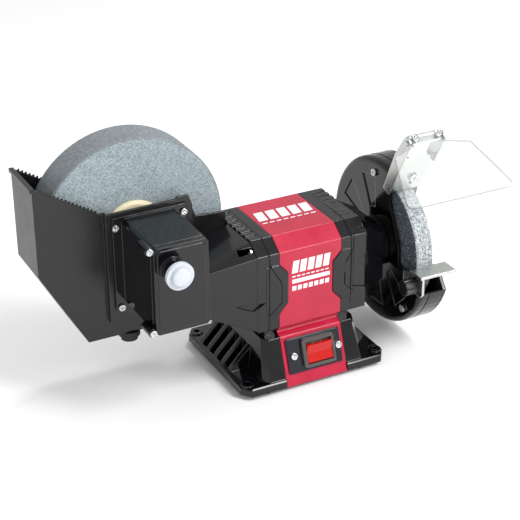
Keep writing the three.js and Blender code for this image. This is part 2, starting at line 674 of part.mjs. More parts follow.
// Frame of the sloped rear panel, the front one turned half round.
const rearMatrix = new THREE.Matrix4().makeRotationZ(Math.PI).multiply(panelMatrix);
const GLAND_FROM_SHEET = 8.7;
const GLAND_X = WRAP_HALF + GLAND_FROM_SHEET;
const GLAND_UP = 24;
const GLAND_RADIUS = 6;
const CORD_HOLE_RADIUS = 3.6;
const glandHole = placed(rodZ(GLAND_X, GLAND_UP, GLAND_RADIUS + TOUCH_GAP, -10, 5, 20), rearMatrix);

const base = cut(
  join(rim, pedestal, collar, ...fins, ...lugBosses),
  pedestalHollow, collarHollow, ...sheetRoom, ...lugHoles, switchWindow, ...plateScrewHoles, glandHole,
);
add('base_pedestal', base, blackPlastic);

const gland = cut(
  join(rodZ(GLAND_X, GLAND_UP, GLAND_RADIUS, -9, 1, 20), rodZ(GLAND_X, GLAND_UP, GLAND_RADIUS + 3,
    TOUCH_GAP, 4, 20)),
  rodZ(GLAND_X, GLAND_UP, CORD_HOLE_RADIUS, -10, 5, 16),
);
add('cable_gland', placed(gland, rearMatrix), rubber);

const plateHalfX = PEDESTAL_FOOT_HALF_X - PEDESTAL_WALL - 1;
const plateHalfY = BASE_HALF_Y - PEDESTAL_WALL - 4.2;
add('base_plate', hull([
  ...chamferedBlock(plateHalfX, plateHalfY, HOLLOW_CORNER, 0),
  ...chamferedBlock(plateHalfX - 0.2, plateHalfY - 0.4, HOLLOW_CORNER, BASE_PLATE_THICKNESS),
]), navyPlate);

mirrorPairs.forEach(([sx, sy], i) => {
  const foot = new THREE.CylinderGeometry(FOOT_RADIUS, FOOT_RADIUS - 1, FOOT_HEIGHT - TOUCH_GAP, 20);
  foot.rotateX(Math.PI / 2);
  foot.translate(sx * FOOT_X, sy * FOOT_Y, -(FOOT_HEIGHT + TOUCH_GAP) / 2);
  add(`foot_${i + 1}`, solid(foot), rubber);
});

const CAPACITOR_Y = 22;
add('capacitor', rodX(CAPACITOR_Y, BASE_PLATE_THICKNESS + TOUCH_GAP + CAPACITOR_RADIUS, CAPACITOR_RADIUS,
  -CAPACITOR_LENGTH / 2, CAPACITOR_LENGTH / 2, 28), navyPlate);

// ---------------------------------------------------------------- switch

const plateFace = TOUCH_GAP + SWITCH_PLATE_THICKNESS;
const bootSeat = plateFace + TOUCH_GAP;
const bootFace = bootSeat + BOOT_PROUD;
const WELL_HALF = BOOT_HALF_X - BOOT_WALL;
const WELL_LENGTH = BOOT_LENGTH - 2 * BOOT_WALL;
const plateBlank = hull([TOUCH_GAP, plateFace - 0.6, plateFace].flatMap((z, i) => {
  const inset = i === 2 ? 0.6 : 0;
  const halfX = SWITCH_PLATE_HALF_X - inset;
  const halfUp = SWITCH_PLATE_LENGTH / 2 - inset;
  return mirrorPairs.flatMap(([sx, sy]) => [
    [sx * halfX, SWITCH_CENTRE_UP + sy * (halfUp - 1.5), z], [sx * (halfX - 1.5),
      SWITCH_CENTRE_UP + sy * halfUp, z],
  ]);
}));
add('switch_plate', cut(onPanel(plateBlank), switchWindow, ...plateScrewHoles), navyPlate);

const bootBlank = hull([bootSeat, bootFace - 1.2, bootFace].flatMap((z, i) => {
  const inset = i === 2 ? 1.2 : 0;
  const halfX = BOOT_HALF_X - inset;
  const halfUp = BOOT_LENGTH / 2 - inset;
  return mirrorPairs.flatMap(([sx, sy]) => [
    [BOOT_CENTRE_X + sx * halfX, SWITCH_CENTRE_UP + sy * (halfUp - 2), z],
    [BOOT_CENTRE_X + sx * (halfX - 2), SWITCH_CENTRE_UP + sy * halfUp, z],
  ]);
}));
const switchBody = switchBox(BODY_WINDOW_HALF, BODY_WINDOW_LENGTH, -SWITCH_BODY_DEPTH, bootSeat + 0.5);
const switchWell = switchBox(WELL_HALF, WELL_LENGTH, -SWITCH_BODY_DEPTH + 3, bootFace + 1);
add('switch_boot', onPanel(cut(join(bootBlank, switchBody), switchWell)), bootGrey);

// The rocker's pivot lies in the well, level with the panel.
const ROCKER_PIVOT_Z = 0.5;
const rockerHalf = WELL_LENGTH / 2 - ROCKER_GAP - 0.9;
const rockerProfile = [
  [-7.5, -5], [7.5, -5], [rockerHalf - 0.6, bootFace - 3], [rockerHalf - 0.6, bootFace + 0.9],
  [rockerHalf - 1.4, bootFace + 1.2], [0, bootFace - 0.9], [-rockerHalf + 1.4, bootFace + 1.2],
  [-rockerHalf + 0.6, bootFace + 0.9], [-rockerHalf + 0.6, bootFace - 3],
];
const rockerTurn = new THREE.Matrix4().makeTranslation(0, SWITCH_CENTRE_UP, ROCKER_PIVOT_Z)
  .multiply(new THREE.Matrix4().makeRotationX(rad(ROCKER_TILT)));
const rockerHalfX = WELL_HALF - ROCKER_GAP;
const rocker = placed(
  prismX(rockerProfile.map(([v, z]) => [v, z - ROCKER_PIVOT_Z]), BOOT_CENTRE_X - rockerHalfX,
    BOOT_CENTRE_X + rockerHalfX),
  rockerTurn,
);
add('switch_rocker', onPanel(rocker), rockerRed);

plateScrewXs.forEach((x, i) => {
  const origin = new THREE.Vector3(x, SWITCH_CENTRE_UP, plateFace + TOUCH_GAP).applyMatrix4(panelMatrix);
  addScrew(i ? 'switch_screw_right' : 'switch_screw_left', origin.toArray(), panelOut, [3.8, 2.4,
    SCREW_SHANK, 7], zinc);
});

// ---------------------------------------------------------------- gearbox

const coverBackY = BOX_FRONT_Y + BOX_COVER_THICKNESS;
const caseFrontY = coverBackY + TOUCH_GAP;
const WORM_Z = WET_Z - WORM_RADIUS - (WORM_TEETH * GEAR_MODULE) / 2;
const BOX_CORNER = 3;

function boxOutline(inset) {
  const c = BOX_CORNER;
  return [
    [BOX_LEFT_X + inset, BOX_BOTTOM_Z + inset + c], [BOX_LEFT_X + inset + c, BOX_BOTTOM_Z + inset],
    [BOX_RIGHT_X - inset - c, BOX_BOTTOM_Z + inset], [BOX_RIGHT_X - inset, BOX_BOTTOM_Z + inset + c],
    [BOX_RIGHT_X - inset, BOX_TOP_Z - inset - c], [BOX_RIGHT_X - inset - c, BOX_TOP_Z - inset],
    [BOX_LEFT_X + inset + c, BOX_TOP_Z - inset], [BOX_LEFT_X + inset, BOX_TOP_Z - inset - c],
  ];
}

function sumpBox(inset) {
  return box(SUMP_LEFT_X + inset, BOX_RIGHT_X - inset, SUMP_FRONT_Y + inset, SUMP_BACK_Y - inset,
    SUMP_BOTTOM_Z + inset, SUMP_TOP_Z - inset);
}

const CASE_EAR = 4.6;
const COVER_SCREW_HEAD = 3.6;
const coverScrews = [[-186.2, 194.6], [-185.6, 105.4]];
const flangeScrews = [[-190, 188.5], [-115.2, 190.5], [-187.4, 98.5]];
const flangeOutline = [
  [-193, 199], [-193, 96], [-184, BOX_BOTTOM_Z - 13.5], [BOX_RIGHT_X - 0.5, BOX_BOTTOM_Z - 13.5],
  [BOX_RIGHT_X - 0.5, STEP_SHELF_Z - 0.5], [-112, STEP_SHELF_Z - 0.5], [-112, 199],
];
const caseEars = coverScrews.map(([x, z]) => rodY(x, z, CASE_EAR, caseFrontY, caseFrontY + 14, 16));
const WORM_SEAT_RADIUS = 8;
const wormBore = WORM_SHAFT_RADIUS + BEARING_GAP;
const AXLE_SEAT_RADIUS = 11;
const gearCase = cut(
  join(
    cut(
      join(prismY(boxOutline(0), caseFrontY, BOX_BACK_Y), sumpBox(0), ...caseEars,
        prismY(flangeOutline, FLANGE_FRONT_Y, FLANGE_FRONT_Y + FLANGE_THICKNESS)),
      prismY(boxOutline(BOX_WALL), caseFrontY - 1, BOX_BACK_Y - BOX_WALL), sumpBox(BOX_WALL),
    ),
    rodX(MESH_Y, WORM_Z, WORM_SEAT_RADIUS, BOX_LEFT_X + 1, BOX_LEFT_X + BOX_WALL + 3.5, 20),
    rodX(MESH_Y, WORM_Z, WORM_SEAT_RADIUS, BOX_RIGHT_X - BOX_WALL - 1.8, BOX_RIGHT_X - 1, 20),
    rodY(WET_X, WET_Z, AXLE_SEAT_RADIUS, BOX_BACK_Y - BOX_WALL - 8, BOX_BACK_Y - 1, 24),
  ),
  rodX(MESH_Y, WORM_Z, wormBore, BOX_LEFT_X + 1.4, BOX_RIGHT_X - 1.4, 24),
  rodX(0, AXIS_Z, SHAFT_HOLE, BOX_RIGHT_X - BOX_WALL - 1, BOX_RIGHT_X + 1, 24),
  rodY(WET_X, WET_Z, AXLE_RADIUS + BEARING_GAP, BOX_BACK_Y - 16, BOX_BACK_Y + 1, 24),
  ...coverScrews.map(([x, z]) => rodY(x, z, SCREW_SHANK + TOUCH_GAP, caseFrontY - 1, caseFrontY + 6, 12)),
  ...flangeScrews.map(([x, z]) => rodY(x, z, SCREW_SHANK + TOUCH_GAP, FLANGE_FRONT_Y - 1,
    FLANGE_FRONT_Y + 4, 12)),
);
add('gearbox_case', gearCase, blackPlastic);

// Cover with a raised field, the axle tube and the seam's step.
const tubeEndY = BOX_FRONT_Y - TUBE_LENGTH;
const CAP_SPIGOT_RADIUS = 8;
const CAP_SPIGOT = 4;
const coverBlank = join(
  prismY(boxOutline(0.4), BOX_FRONT_Y, coverBackY),
  prismY(boxOutline(4), BOX_FRONT_Y - 0.9, BOX_FRONT_Y + 1),
  ...coverScrews.map(([x, z]) => rodY(x, z, CASE_EAR, BOX_FRONT_Y + 1.5, coverBackY, 16)),
  rodY(WET_X, WET_Z, TUBE_RADIUS + 2.5, BOX_FRONT_Y - 2.4, BOX_FRONT_Y, 32),
  rodY(WET_X, WET_Z, TUBE_RADIUS, tubeEndY, BOX_FRONT_Y, 32),
);
add('gearbox_cover', cut(
  coverBlank,
  prismY(boxOutline(BOX_WALL + 1), BOX_FRONT_Y + 3, coverBackY + 1).subtract(
    rodY(WET_X, WET_Z, AXLE_SEAT_RADIUS, BOX_FRONT_Y + 2, coverBackY + 2, 24),
  ),
  rodY(WET_X, WET_Z, AXLE_RADIUS + BEARING_GAP, tubeEndY - 1, coverBackY + 1, 24),
  rodY(WET_X, WET_Z, CAP_SPIGOT_RADIUS + TOUCH_GAP, tubeEndY - 1, tubeEndY + CAP_SPIGOT + 1.5, 24),
  ...coverScrews.map(([x, z]) => rodY(x, z, SCREW_SHANK + TOUCH_GAP, BOX_FRONT_Y - 1, coverBackY + 1, 12)),
  ...coverScrews.map(([x, z]) => rodY(x, z, COVER_SCREW_HEAD + 0.6, BOX_FRONT_Y - 3, BOX_FRONT_Y + 1.5, 16)),
), blackPlastic);

const capSeatY = tubeEndY - TOUCH_GAP;
add('axle_cap', join(
  rodY(WET_X, WET_Z, CAP_RADIUS, capSeatY - CAP_FLANGE, capSeatY, 32),
  rodY(WET_X, WET_Z, CAP_BUTTON_RADIUS, capSeatY - CAP_FLANGE - CAP_BUTTON, capSeatY - CAP_FLANGE, 32),
  rodY(WET_X, WET_Z, CAP_SPIGOT_RADIUS, capSeatY - 1, tubeEndY + CAP_SPIGOT, 24),
), whiteCap);

coverScrews.forEach(([x, z], i) => {
  addScrew(`cover_screw_${i + 1}`, [x, BOX_FRONT_Y + 1.5 - TOUCH_GAP, z], FORWARD, [COVER_SCREW_HEAD, 2,
    SCREW_SHANK, 10], zinc);
});
flangeScrews.forEach(([x, z], i) => {
  addScrew(`flange_screw_${i + 1}`, [x, FLANGE_FRONT_Y - TOUCH_GAP, z], FORWARD, [3.6, 2, SCREW_SHANK, 5],
    zinc);
});

// ---------------------------------------------------------------- drive train

const WORM_PULLEY_RADIUS = PULLEY_RADIUS * PULLEY_RATIO;
const PULLEY_RIM = 1;
const PULLEY_RIM_HEIGHT = 3.2;
const BELT_GAP = 0.3;
const wormAxis = [MESH_Y, WORM_Z];

function pulley(y, z, radius, bore) {
  const x0 = PULLEY_X - PULLEY_WIDTH / 2;
  const x1 = PULLEY_X + PULLEY_WIDTH / 2;
  return cut(
    join(
      rodX(y, z, radius, x0, x1, 24),
      rodX(y, z, radius + PULLEY_RIM_HEIGHT, x0, x0 + PULLEY_RIM, 24),
      rodX(y, z, radius + PULLEY_RIM_HEIGHT, x1 - PULLEY_RIM, x1, 24),
    ),
    rodX(y, z, bore + TOUCH_GAP, x0 - 1, x1 + 1, 24),
  );
}
add('motor_pulley', pulley(0, AXIS_Z, PULLEY_RADIUS, SHAFT_RADIUS), steel);
add('worm_pulley', pulley(...wormAxis, WORM_PULLEY_RADIUS, WORM_SHAFT_RADIUS), steel);

function beltLoop(extra, x0, x1) {
  const wheels = [[0, AXIS_Z, PULLEY_RADIUS + extra], [...wormAxis, WORM_PULLEY_RADIUS + extra]];
  return hull(wheels.flatMap(([y, z, r]) => Array.from({ length: 32 }, (_, i) => {
    const a = (i / 32) * 2 * Math.PI;
    return [[x0, y + r * Math.cos(a), z + r * Math.sin(a)], [x1, y + r * Math.cos(a), z + r * Math.sin(a)]];
  }).flat()));
}
const beltHalf = PULLEY_WIDTH / 2 - PULLEY_RIM - TOUCH_GAP;
add('drive_belt', cut(
  beltLoop(BELT_GAP + BELT_THICKNESS, PULLEY_X - beltHalf, PULLEY_X + beltHalf),
  beltLoop(BELT_GAP, PULLEY_X - beltHalf - 1, PULLEY_X + beltHalf + 1),
), rubber);

// Thread and teeth share the pitch line; both are thinned so they mesh with play.
const AXIAL_PITCH = Math.PI * GEAR_MODULE;
const ADDENDUM = 1.3;
const DEDENDUM = 1.75;
const TOOTH_AT_PITCH = 1.6;
const FLANK_SLOPE = 0.4;
const tipWidth = TOOTH_AT_PITCH - 2 * ADDENDUM * FLANK_SLOPE;
const rootWidth = TOOTH_AT_PITCH + 2 * DEDENDUM * FLANK_SLOPE;
const WORM_SIDES = 14;
const WORM_STEPS_PER_TURN = 12;

function threadRadius(offset) {
  const u = Math.abs(offset);
  if (u <= tipWidth / 2) return WORM_RADIUS + ADDENDUM;
  if (u >= rootWidth / 2) return WORM_RADIUS - DEDENDUM;
  const share = (u - tipWidth / 2) / ((rootWidth - tipWidth) / 2);
  return WORM_RADIUS + ADDENDUM - share * (ADDENDUM + DEDENDUM);
}

function wormBlank() {
  const section = Array.from({ length: WORM_SIDES }, (_, i) => {
    const turn = i / WORM_SIDES;
    const offset = (turn > 0.5 ? turn - 1 : turn) * AXIAL_PITCH;
    const r = threadRadius(offset);
    return [r * Math.cos(turn * 2 * Math.PI), r * Math.sin(turn * 2 * Math.PI)];
  });
  const steps = Math.round((WORM_LENGTH / AXIAL_PITCH) * WORM_STEPS_PER_TURN);
  const geometry = new THREE.ExtrudeGeometry(outline(section), { depth: 1, steps, bevelEnabled: false });
  const position = geometry.attributes.position;
  for (let i = 0; i < position.count; i += 1) {
    const along = (position.getZ(i) - 0.5) * WORM_LENGTH;
    const a = (along / AXIAL_PITCH) * 2 * Math.PI + Math.PI / 2;
    const u = position.getX(i);
    const v = position.getY(i);
    position.setXYZ(i, WET_X + along, MESH_Y + u * Math.cos(a) - v * Math.sin(a),
      WORM_Z + u * Math.sin(a) + v * Math.cos(a));
  }
  return solid(geometry);
}
add('worm_shaft', join(
  wormBlank(),
  rodX(...wormAxis, WORM_SHAFT_RADIUS, BOX_LEFT_X + 2, BOX_RIGHT_X - 2, 24),
), gearSteel);

function toothedWheel(teeth, tipRadius, rootRadius, y0, y1) {
  const points = [];
  const rootHalf = rootWidth / 2 / rootRadius;
  const tipHalf = tipWidth / 2 / tipRadius;
  for (let i = 0; i < teeth; i += 1) {
    const centre = ((i + 0.5) / teeth) * 2 * Math.PI - Math.PI / 2;
    [[rootRadius, -rootHalf], [tipRadius, -tipHalf], [tipRadius, tipHalf],
      [rootRadius, rootHalf]].forEach(([r, a]) => {
      points.push([WET_X + r * Math.cos(centre + a), WET_Z + r * Math.sin(centre + a)]);
    });
  }
  return prismY(points, y0, y1);
}
const wheelPitch = (WORM_TEETH * GEAR_MODULE) / 2;
add('worm_wheel', cut(
  toothedWheel(WORM_TEETH, wheelPitch + ADDENDUM, wheelPitch - DEDENDUM,
    MESH_Y - WORM_WHEEL_WIDTH / 2, MESH_Y + WORM_WHEEL_WIDTH / 2),
  rodY(WET_X, WET_Z, AXLE_RADIUS + TOUCH_GAP, MESH_Y - WORM_WHEEL_WIDTH, MESH_Y + WORM_WHEEL_WIDTH, 24),
), bronze);

// ---------------------------------------------------------------- wet wheel

// Turned rings: a closed list of [radius, along] corners.
function turnedY(profile, x, z, sides) {
  const points = [...profile, profile[0]].map(([r, y]) => new THREE.Vector2(r, y));
  const geometry = new THREE.LatheGeometry(points, sides);
  geometry.translate(x, 0, z);
  return solid(geometry);
}

function turnedX(profile, sides) {
  const points = [...profile, profile[0]].map(([r, x]) => new THREE.Vector2(r, x));
  const geometry = new THREE.LatheGeometry(points, sides);
  geometry.rotateZ(-Math.PI / 2);
  geometry.translate(0, 0, AXIS_Z);
  return solid(geometry);
}

function stoneProfile(outer, bore, from, width, bevel) {
  const to = from + width;
  return [[bore, from], [outer - bevel, from], [outer, from + bevel], [outer, to - bevel],
    [outer - bevel, to], [bore, to]];
}
const wetBackY = WET_FRONT_Y + WET_WIDTH;
add('wet_wheel', turnedY(stoneProfile(WET_RADIUS, WET_BORE_RADIUS, WET_FRONT_Y, WET_WIDTH, 1.5), WET_X,
  WET_Z, 80), wetStone);

const hubBore = AXLE_RADIUS + TOUCH_GAP;
const hubSleeve = WET_BORE_RADIUS - TOUCH_GAP;
const frontHubY = WET_FRONT_Y - TOUCH_GAP;
const backHubY = wetBackY + TOUCH_GAP;
const SLEEVE_LENGTH = 16;
add('wet_hub_front', turnedY([
  [hubBore, frontHubY - HUB_PROUD], [HUB_RADIUS - 3, frontHubY - HUB_PROUD],
    [HUB_RADIUS, frontHubY - HUB_PROUD + 3],
  [HUB_RADIUS, frontHubY], [hubSleeve, frontHubY], [hubSleeve, frontHubY + SLEEVE_LENGTH],
    [hubBore, frontHubY + SLEEVE_LENGTH],
], WET_X, WET_Z, 40), creamPlastic);
add('wet_hub_back', turnedY([
  [hubBore, backHubY - SLEEVE_LENGTH], [hubSleeve, backHubY - SLEEVE_LENGTH], [hubSleeve, backHubY],
  [HUB_RADIUS, backHubY], [HUB_RADIUS - 0.8, backHubY + HUB_BACK], [hubBore, backHubY + HUB_BACK],
], WET_X, WET_Z, 40), creamPlastic);

const nutY = backHubY + HUB_BACK + TOUCH_GAP;
const AXLE_FRONT_Y = tubeEndY + CAP_SPIGOT + 3;
add('wet_axle', rodY(WET_X, WET_Z, AXLE_RADIUS, AXLE_FRONT_Y, nutY + AXLE_NUT_LENGTH, 24), steel);
add('wet_nut', cut(
  rodY(WET_X, WET_Z, AXLE_NUT_WIDTH / Math.sqrt(3), nutY, nutY + AXLE_NUT_LENGTH, 6),
  rodY(WET_X, WET_Z, AXLE_RADIUS + TOUCH_GAP, nutY - 1, nutY + AXLE_NUT_LENGTH + 1, 24),
), zinc);

// ---------------------------------------------------------------- water trough

const SLOPE_TOP = [-203, 203];
const leftTop = [TROUGH_LEFT_X, TROUGH_TOP_Z];
const lowerBody = [[TROUGH_LEFT_X, 148], [-222, TROUGH_BOTTOM_Z], [-128, TROUGH_BOTTOM_Z], [-92, 85.5],
  [-70, 119.5]];
const frontOutline = [
  leftTop, ...lowerBody, [TROUGH_RIGHT_X, 138], [TROUGH_RIGHT_X, 176], [-98, 178],
  [-108, 206], [-121, 206.5], [-122, 204], SLOPE_TOP,
];
const backOutline = [leftTop, ...lowerBody, [TROUGH_RIGHT_X, 138], [TROUGH_RIGHT_X, 150], [-98, 178],
  [-122, 204], SLOPE_TOP];
const shellOutline = [
  [TROUGH_LEFT_X, TROUGH_TOP_Z], ...lowerBody, [TROUGH_RIGHT_X, 138],
  [TROUGH_RIGHT_X - TROUGH_WALL, 138], [-72.2, 120.8], [-94, 87.4], [-128.8, TROUGH_BOTTOM_Z + TROUGH_WALL],
  [-220.6, TROUGH_BOTTOM_Z + TROUGH_WALL], [TROUGH_LEFT_X + TROUGH_WALL, 148.7],
    [TROUGH_LEFT_X + TROUGH_WALL, TROUGH_TOP_Z],
];
const stepOutline = (inset) => [
  [STEP_LEFT_X + inset, 250], [STEP_LEFT_X + inset, STEP_BOTTOM_Z + inset],
    [BOX_RIGHT_X + 2, STEP_BOTTOM_Z + inset],
  [BOX_RIGHT_X + 2, SUMP_BOTTOM_Z - 1], [BOX_RIGHT_X + 0.4 - inset, SUMP_BOTTOM_Z - 1],
  [BOX_RIGHT_X + 0.4 - inset, STEP_SHELF_Z + inset], [STEP_RIGHT_X - inset, STEP_SHELF_Z + inset],
    [STEP_RIGHT_X - inset, 250],
];
const frontWallBack = TROUGH_FRONT_Y + TROUGH_WALL;
const plainWall = prismY(frontOutline, TROUGH_FRONT_Y, frontWallBack);
const stepBlock = prismY(stepOutline(0), FLANGE_STEP_Y, frontWallBack)
  .intersect(prismY(frontOutline, FLANGE_STEP_Y - 1, frontWallBack + 1));
const stepRoom = prismY(stepOutline(TROUGH_WALL), FLANGE_STEP_Y + TROUGH_WALL, frontWallBack + 1);
const caseRoom = join(
  prismY([
    [BOX_LEFT_X - 0.4, BOX_BOTTOM_Z - 0.4], [BOX_RIGHT_X + 0.4, BOX_BOTTOM_Z - 0.4],
    [BOX_RIGHT_X + 0.4, BOX_TOP_Z + 0.4], [BOX_LEFT_X - 0.4, BOX_TOP_Z + 0.4],
  ], FLANGE_STEP_Y - 1, BOX_BACK_Y + 0.4),
  box(SUMP_LEFT_X - 0.4, BOX_RIGHT_X + 0.4, FLANGE_STEP_Y - 1, SUMP_BACK_Y + 1, SUMP_BOTTOM_Z - 0.4,
    SUMP_TOP_Z + 0.4),
);

// Rows of small teeth along the sloping left rims of the long walls.
function toothRow(y0, y1) {
  const from = [TROUGH_LEFT_X + 5, TROUGH_TOP_Z - 3.1];
  const run = [SLOPE_TOP[0] - from[0], SLOPE_TOP[1] - from[1]];
  const length = Math.hypot(...run);
  const [ux, uz] = [run[0] / length, run[1] / length];
  const pitch = (length - 2) / TOOTH_COUNT;
  const tooth = (s, h) => [from[0] + ux * s - uz * h, from[1] + uz * s + ux * h];
  return Array.from({ length: TOOTH_COUNT }, (_, i) => {
    const s = i * pitch;
    return prismY([tooth(s, -1), tooth(s + pitch * 0.9, -1), tooth(s + pitch * 0.55, 2.2)], y0, y1);
  });
}

const RIM_LIP = 2.2;
const backWallY = TROUGH_BACK_Y - TROUGH_WALL;
const tray = cut(
  join(
    prismY(shellOutline, TROUGH_FRONT_Y, TROUGH_BACK_Y),
      plainWall.subtract(prismY(stepOutline(TROUGH_WALL), 0, 40)),
    prismY(backOutline, backWallY, TROUGH_BACK_Y), cut(stepBlock, stepRoom),
    box(TROUGH_LEFT_X - RIM_LIP, TROUGH_LEFT_X + 1, TROUGH_FRONT_Y, TROUGH_BACK_Y, TROUGH_TOP_Z - 4,
      TROUGH_TOP_Z),
    ...toothRow(TROUGH_FRONT_Y, frontWallBack), ...toothRow(backWallY, TROUGH_BACK_Y),
  ),
  caseRoom,
  rodZ(PLUG_X, PLUG_Y, PLUG_STEM_RADIUS + 0.3, TROUGH_BOTTOM_Z - 1, TROUGH_BOTTOM_Z + 5, 24),
  ...flangeScrews.map(([x, z]) => rodY(x, z, SCREW_SHANK + TOUCH_GAP, FLANGE_STEP_Y - 1, FLANGE_STEP_Y + 4,
    12)),
);
add('water_tray', tray, blackPlastic);

const plugTop = TROUGH_BOTTOM_Z - TOUCH_GAP;
add('drain_plug', cut(
  join(
    rodZ(PLUG_X, PLUG_Y, PLUG_RADIUS, plugTop - PLUG_HEIGHT * 0.55, plugTop, 28),
    rodZ(PLUG_X, PLUG_Y, PLUG_RADIUS - 2.5, plugTop - PLUG_HEIGHT, plugTop, 28),
    rodZ(PLUG_X, PLUG_Y, PLUG_STEM_RADIUS, plugTop - 1, TROUGH_BOTTOM_Z + TROUGH_WALL + 1.4, 24),
  ),
  rodZ(PLUG_X, PLUG_Y, PLUG_STEM_RADIUS - 2, TROUGH_BOTTOM_Z - 3, TROUGH_BOTTOM_Z + 10, 20),
), rubber);

// ---------------------------------------------------------------- dry wheel and guard

const innerFlangeX = DRY_LEFT_X - TOUCH_GAP - 2;
const outerFlangeX = DRY_LEFT_X + DRY_WIDTH + TOUCH_GAP;
const shaftBore = SHAFT_RADIUS + TOUCH_GAP;
add('dry_wheel', turnedX(stoneProfile(DRY_RADIUS, DRY_BORE_RADIUS, DRY_LEFT_X, DRY_WIDTH, 1), 64), dryStone);
const flangeProfile = (x, flip) => {
  const face = flip ? x + 2.4 : x;
  const seat = flip ? x : x + 2;
  return flip
    ? [[shaftBore, seat], [FLANGE_RADIUS, seat], [FLANGE_RADIUS - 1, face], [shaftBore, face]]
    : [[shaftBore, face], [FLANGE_RADIUS - 1, face], [FLANGE_RADIUS, seat], [shaftBore, seat]];
};
add('dry_flange_inner', turnedX(flangeProfile(innerFlangeX, false), 28), steel);
add('dry_flange_outer', turnedX(flangeProfile(outerFlangeX, true), 28), steel);
const dryNutX = dryFlangeEnd + TOUCH_GAP;
add('dry_nut', cut(
  rodX(0, AXIS_Z, DRY_NUT_WIDTH / Math.sqrt(3), dryNutX, dryNutX + 6, 6),
  rodX(0, AXIS_Z, shaftBore, dryNutX - 1, dryNutX + 7, 24),
), zinc);

// Angles run from the operator's side upwards, so the mouth is the sector from lip to roof.
const guardPoint = (angle, radius) => [-radius * Math.cos(rad(angle)),
  AXIS_Z + radius * Math.sin(rad(angle))];
const GUARD_ARC_STEP = 6;
function guardArc(radius) {
  const sweep = 360 - (ROOF_ANGLE - LIP_ANGLE);
  const steps = Math.ceil(sweep / GUARD_ARC_STEP);
  return Array.from({ length: steps + 1 }, (_, i) => guardPoint(LIP_ANGLE - (i * sweep) / steps, radius));
}
const mouthEdge = [[-23, 163.4], [-32.8, 141.3], [-44.3, 119.2], [-46, 96.5], [-51.6, 94]];
const earTop = [-74, 98];
const plateShape = [...guardArc(GUARD_RADIUS), ...mouthEdge, earTop];

// The drum is turned in one piece: its outer corner is rounded and one groove runs round it.
const SHOULDER_ROUND = 6;
const SHOULDER_STEPS = 4;
const DRUM_SIDES = 60;
const DRUM_GROOVE_X = GUARD_LEFT_X + 12;
const DRUM_GROOVE_DEPTH = 0.9;
const DRUM_GROOVE_WIDTH = 1.8;
const MASK_RADIUS = GUARD_RADIUS + 5;
const shoulderArc = Array.from({ length: SHOULDER_STEPS + 1 }, (_, i) => {
  const a = rad((90 * i) / SHOULDER_STEPS);
  const centre = GUARD_RADIUS - SHOULDER_ROUND;
  return [centre + SHOULDER_ROUND * Math.sin(a), GUARD_LEFT_X + SHOULDER_ROUND * (1 - Math.cos(a))];
});
const drumOutside = turnedX([
  [0, GUARD_LEFT_X], ...shoulderArc,
  [GUARD_RADIUS, DRUM_GROOVE_X], [GUARD_RADIUS - DRUM_GROOVE_DEPTH, DRUM_GROOVE_X],
  [GUARD_RADIUS - DRUM_GROOVE_DEPTH, DRUM_GROOVE_X + DRUM_GROOVE_WIDTH],
  [GUARD_RADIUS, DRUM_GROOVE_X + DRUM_GROOVE_WIDTH], [GUARD_RADIUS, GUARD_RIGHT_X], [0, GUARD_RIGHT_X],
], DRUM_SIDES);
const drumInside = GUARD_RADIUS - GUARD_WALL;
const drumRoom = turnedX([
  [0, GUARD_LEFT_X + GUARD_WALL], [drumInside - SHOULDER_ROUND, GUARD_LEFT_X + GUARD_WALL],
  [drumInside, GUARD_LEFT_X + GUARD_WALL + SHOULDER_ROUND], [drumInside, GUARD_RIGHT_X + 1], [0, GUARD_RIGHT_X + 1],
], DRUM_SIDES);
const drumMask = join(
  prismX([...guardArc(MASK_RADIUS), ...mouthEdge, earTop], GUARD_LEFT_X - 1, GUARD_LEFT_X + GUARD_WALL + 0.5),
  prismX([...guardArc(MASK_RADIUS), [0, AXIS_Z]], GUARD_LEFT_X - 1, GUARD_RIGHT_X + 2),
);
const drumShell = drumOutside.subtract(drumRoom).intersect(drumMask);
const roofSide = (radius, back) => {
  const [y, z] = guardPoint(ROOF_ANGLE, radius);
  return [y + back * Math.sin(rad(ROOF_ANGLE)), z + back * Math.cos(rad(ROOF_ANGLE))];
};
const ROOF_FLANGE_RADIUS = 79;
const roofFlange = prismX([
  roofSide(ROOF_FLANGE_RADIUS, 0), roofSide(GUARD_RADIUS, 0), roofSide(GUARD_RADIUS, GUARD_WALL),
  roofSide(ROOF_FLANGE_RADIUS, GUARD_WALL),
], GUARD_LEFT_X + SHOULDER_ROUND, GUARD_RIGHT_X);

// Bracket frame: u up the leaning plate, n square to it towards the back.
const lean = rad(BRACKET_LEAN);
const onBracket = (up, back) => [
  BRACKET_FOOT_Y - up * Math.sin(lean) + back * Math.cos(lean),
  BRACKET_FOOT_Z + up * Math.cos(lean) + back * Math.sin(lean),
];
const SLOT_SCREW_UP = 16.5;
const SLOT_SCREW_X = 130.9;
const padBack = BRACKET_SHEET + TOUCH_GAP;
const bracketPad = prismX([
  onBracket(4, padBack), onBracket(26, padBack), roofSide(GUARD_RADIUS, 1),
    roofSide(ROOF_FLANGE_RADIUS + 1, 1),
], SLOT_SCREW_X - 12, SLOT_SCREW_X + 12);

const bracketTurn = new THREE.Matrix4().makeBasis(
  new THREE.Vector3(1, 0, 0),
  new THREE.Vector3(0, -Math.sin(lean), Math.cos(lean)),
  new THREE.Vector3(0, -Math.cos(lean), -Math.sin(lean)),
).setPosition(0, BRACKET_FOOT_Y, BRACKET_FOOT_Z);
const onPlate = (manifold) => placed(manifold, bracketTurn);
const slotScrewHole = onPlate(rodZ(SLOT_SCREW_X, SLOT_SCREW_UP, SCREW_SHANK + TOUCH_GAP + 0.6, -14, 2, 12));

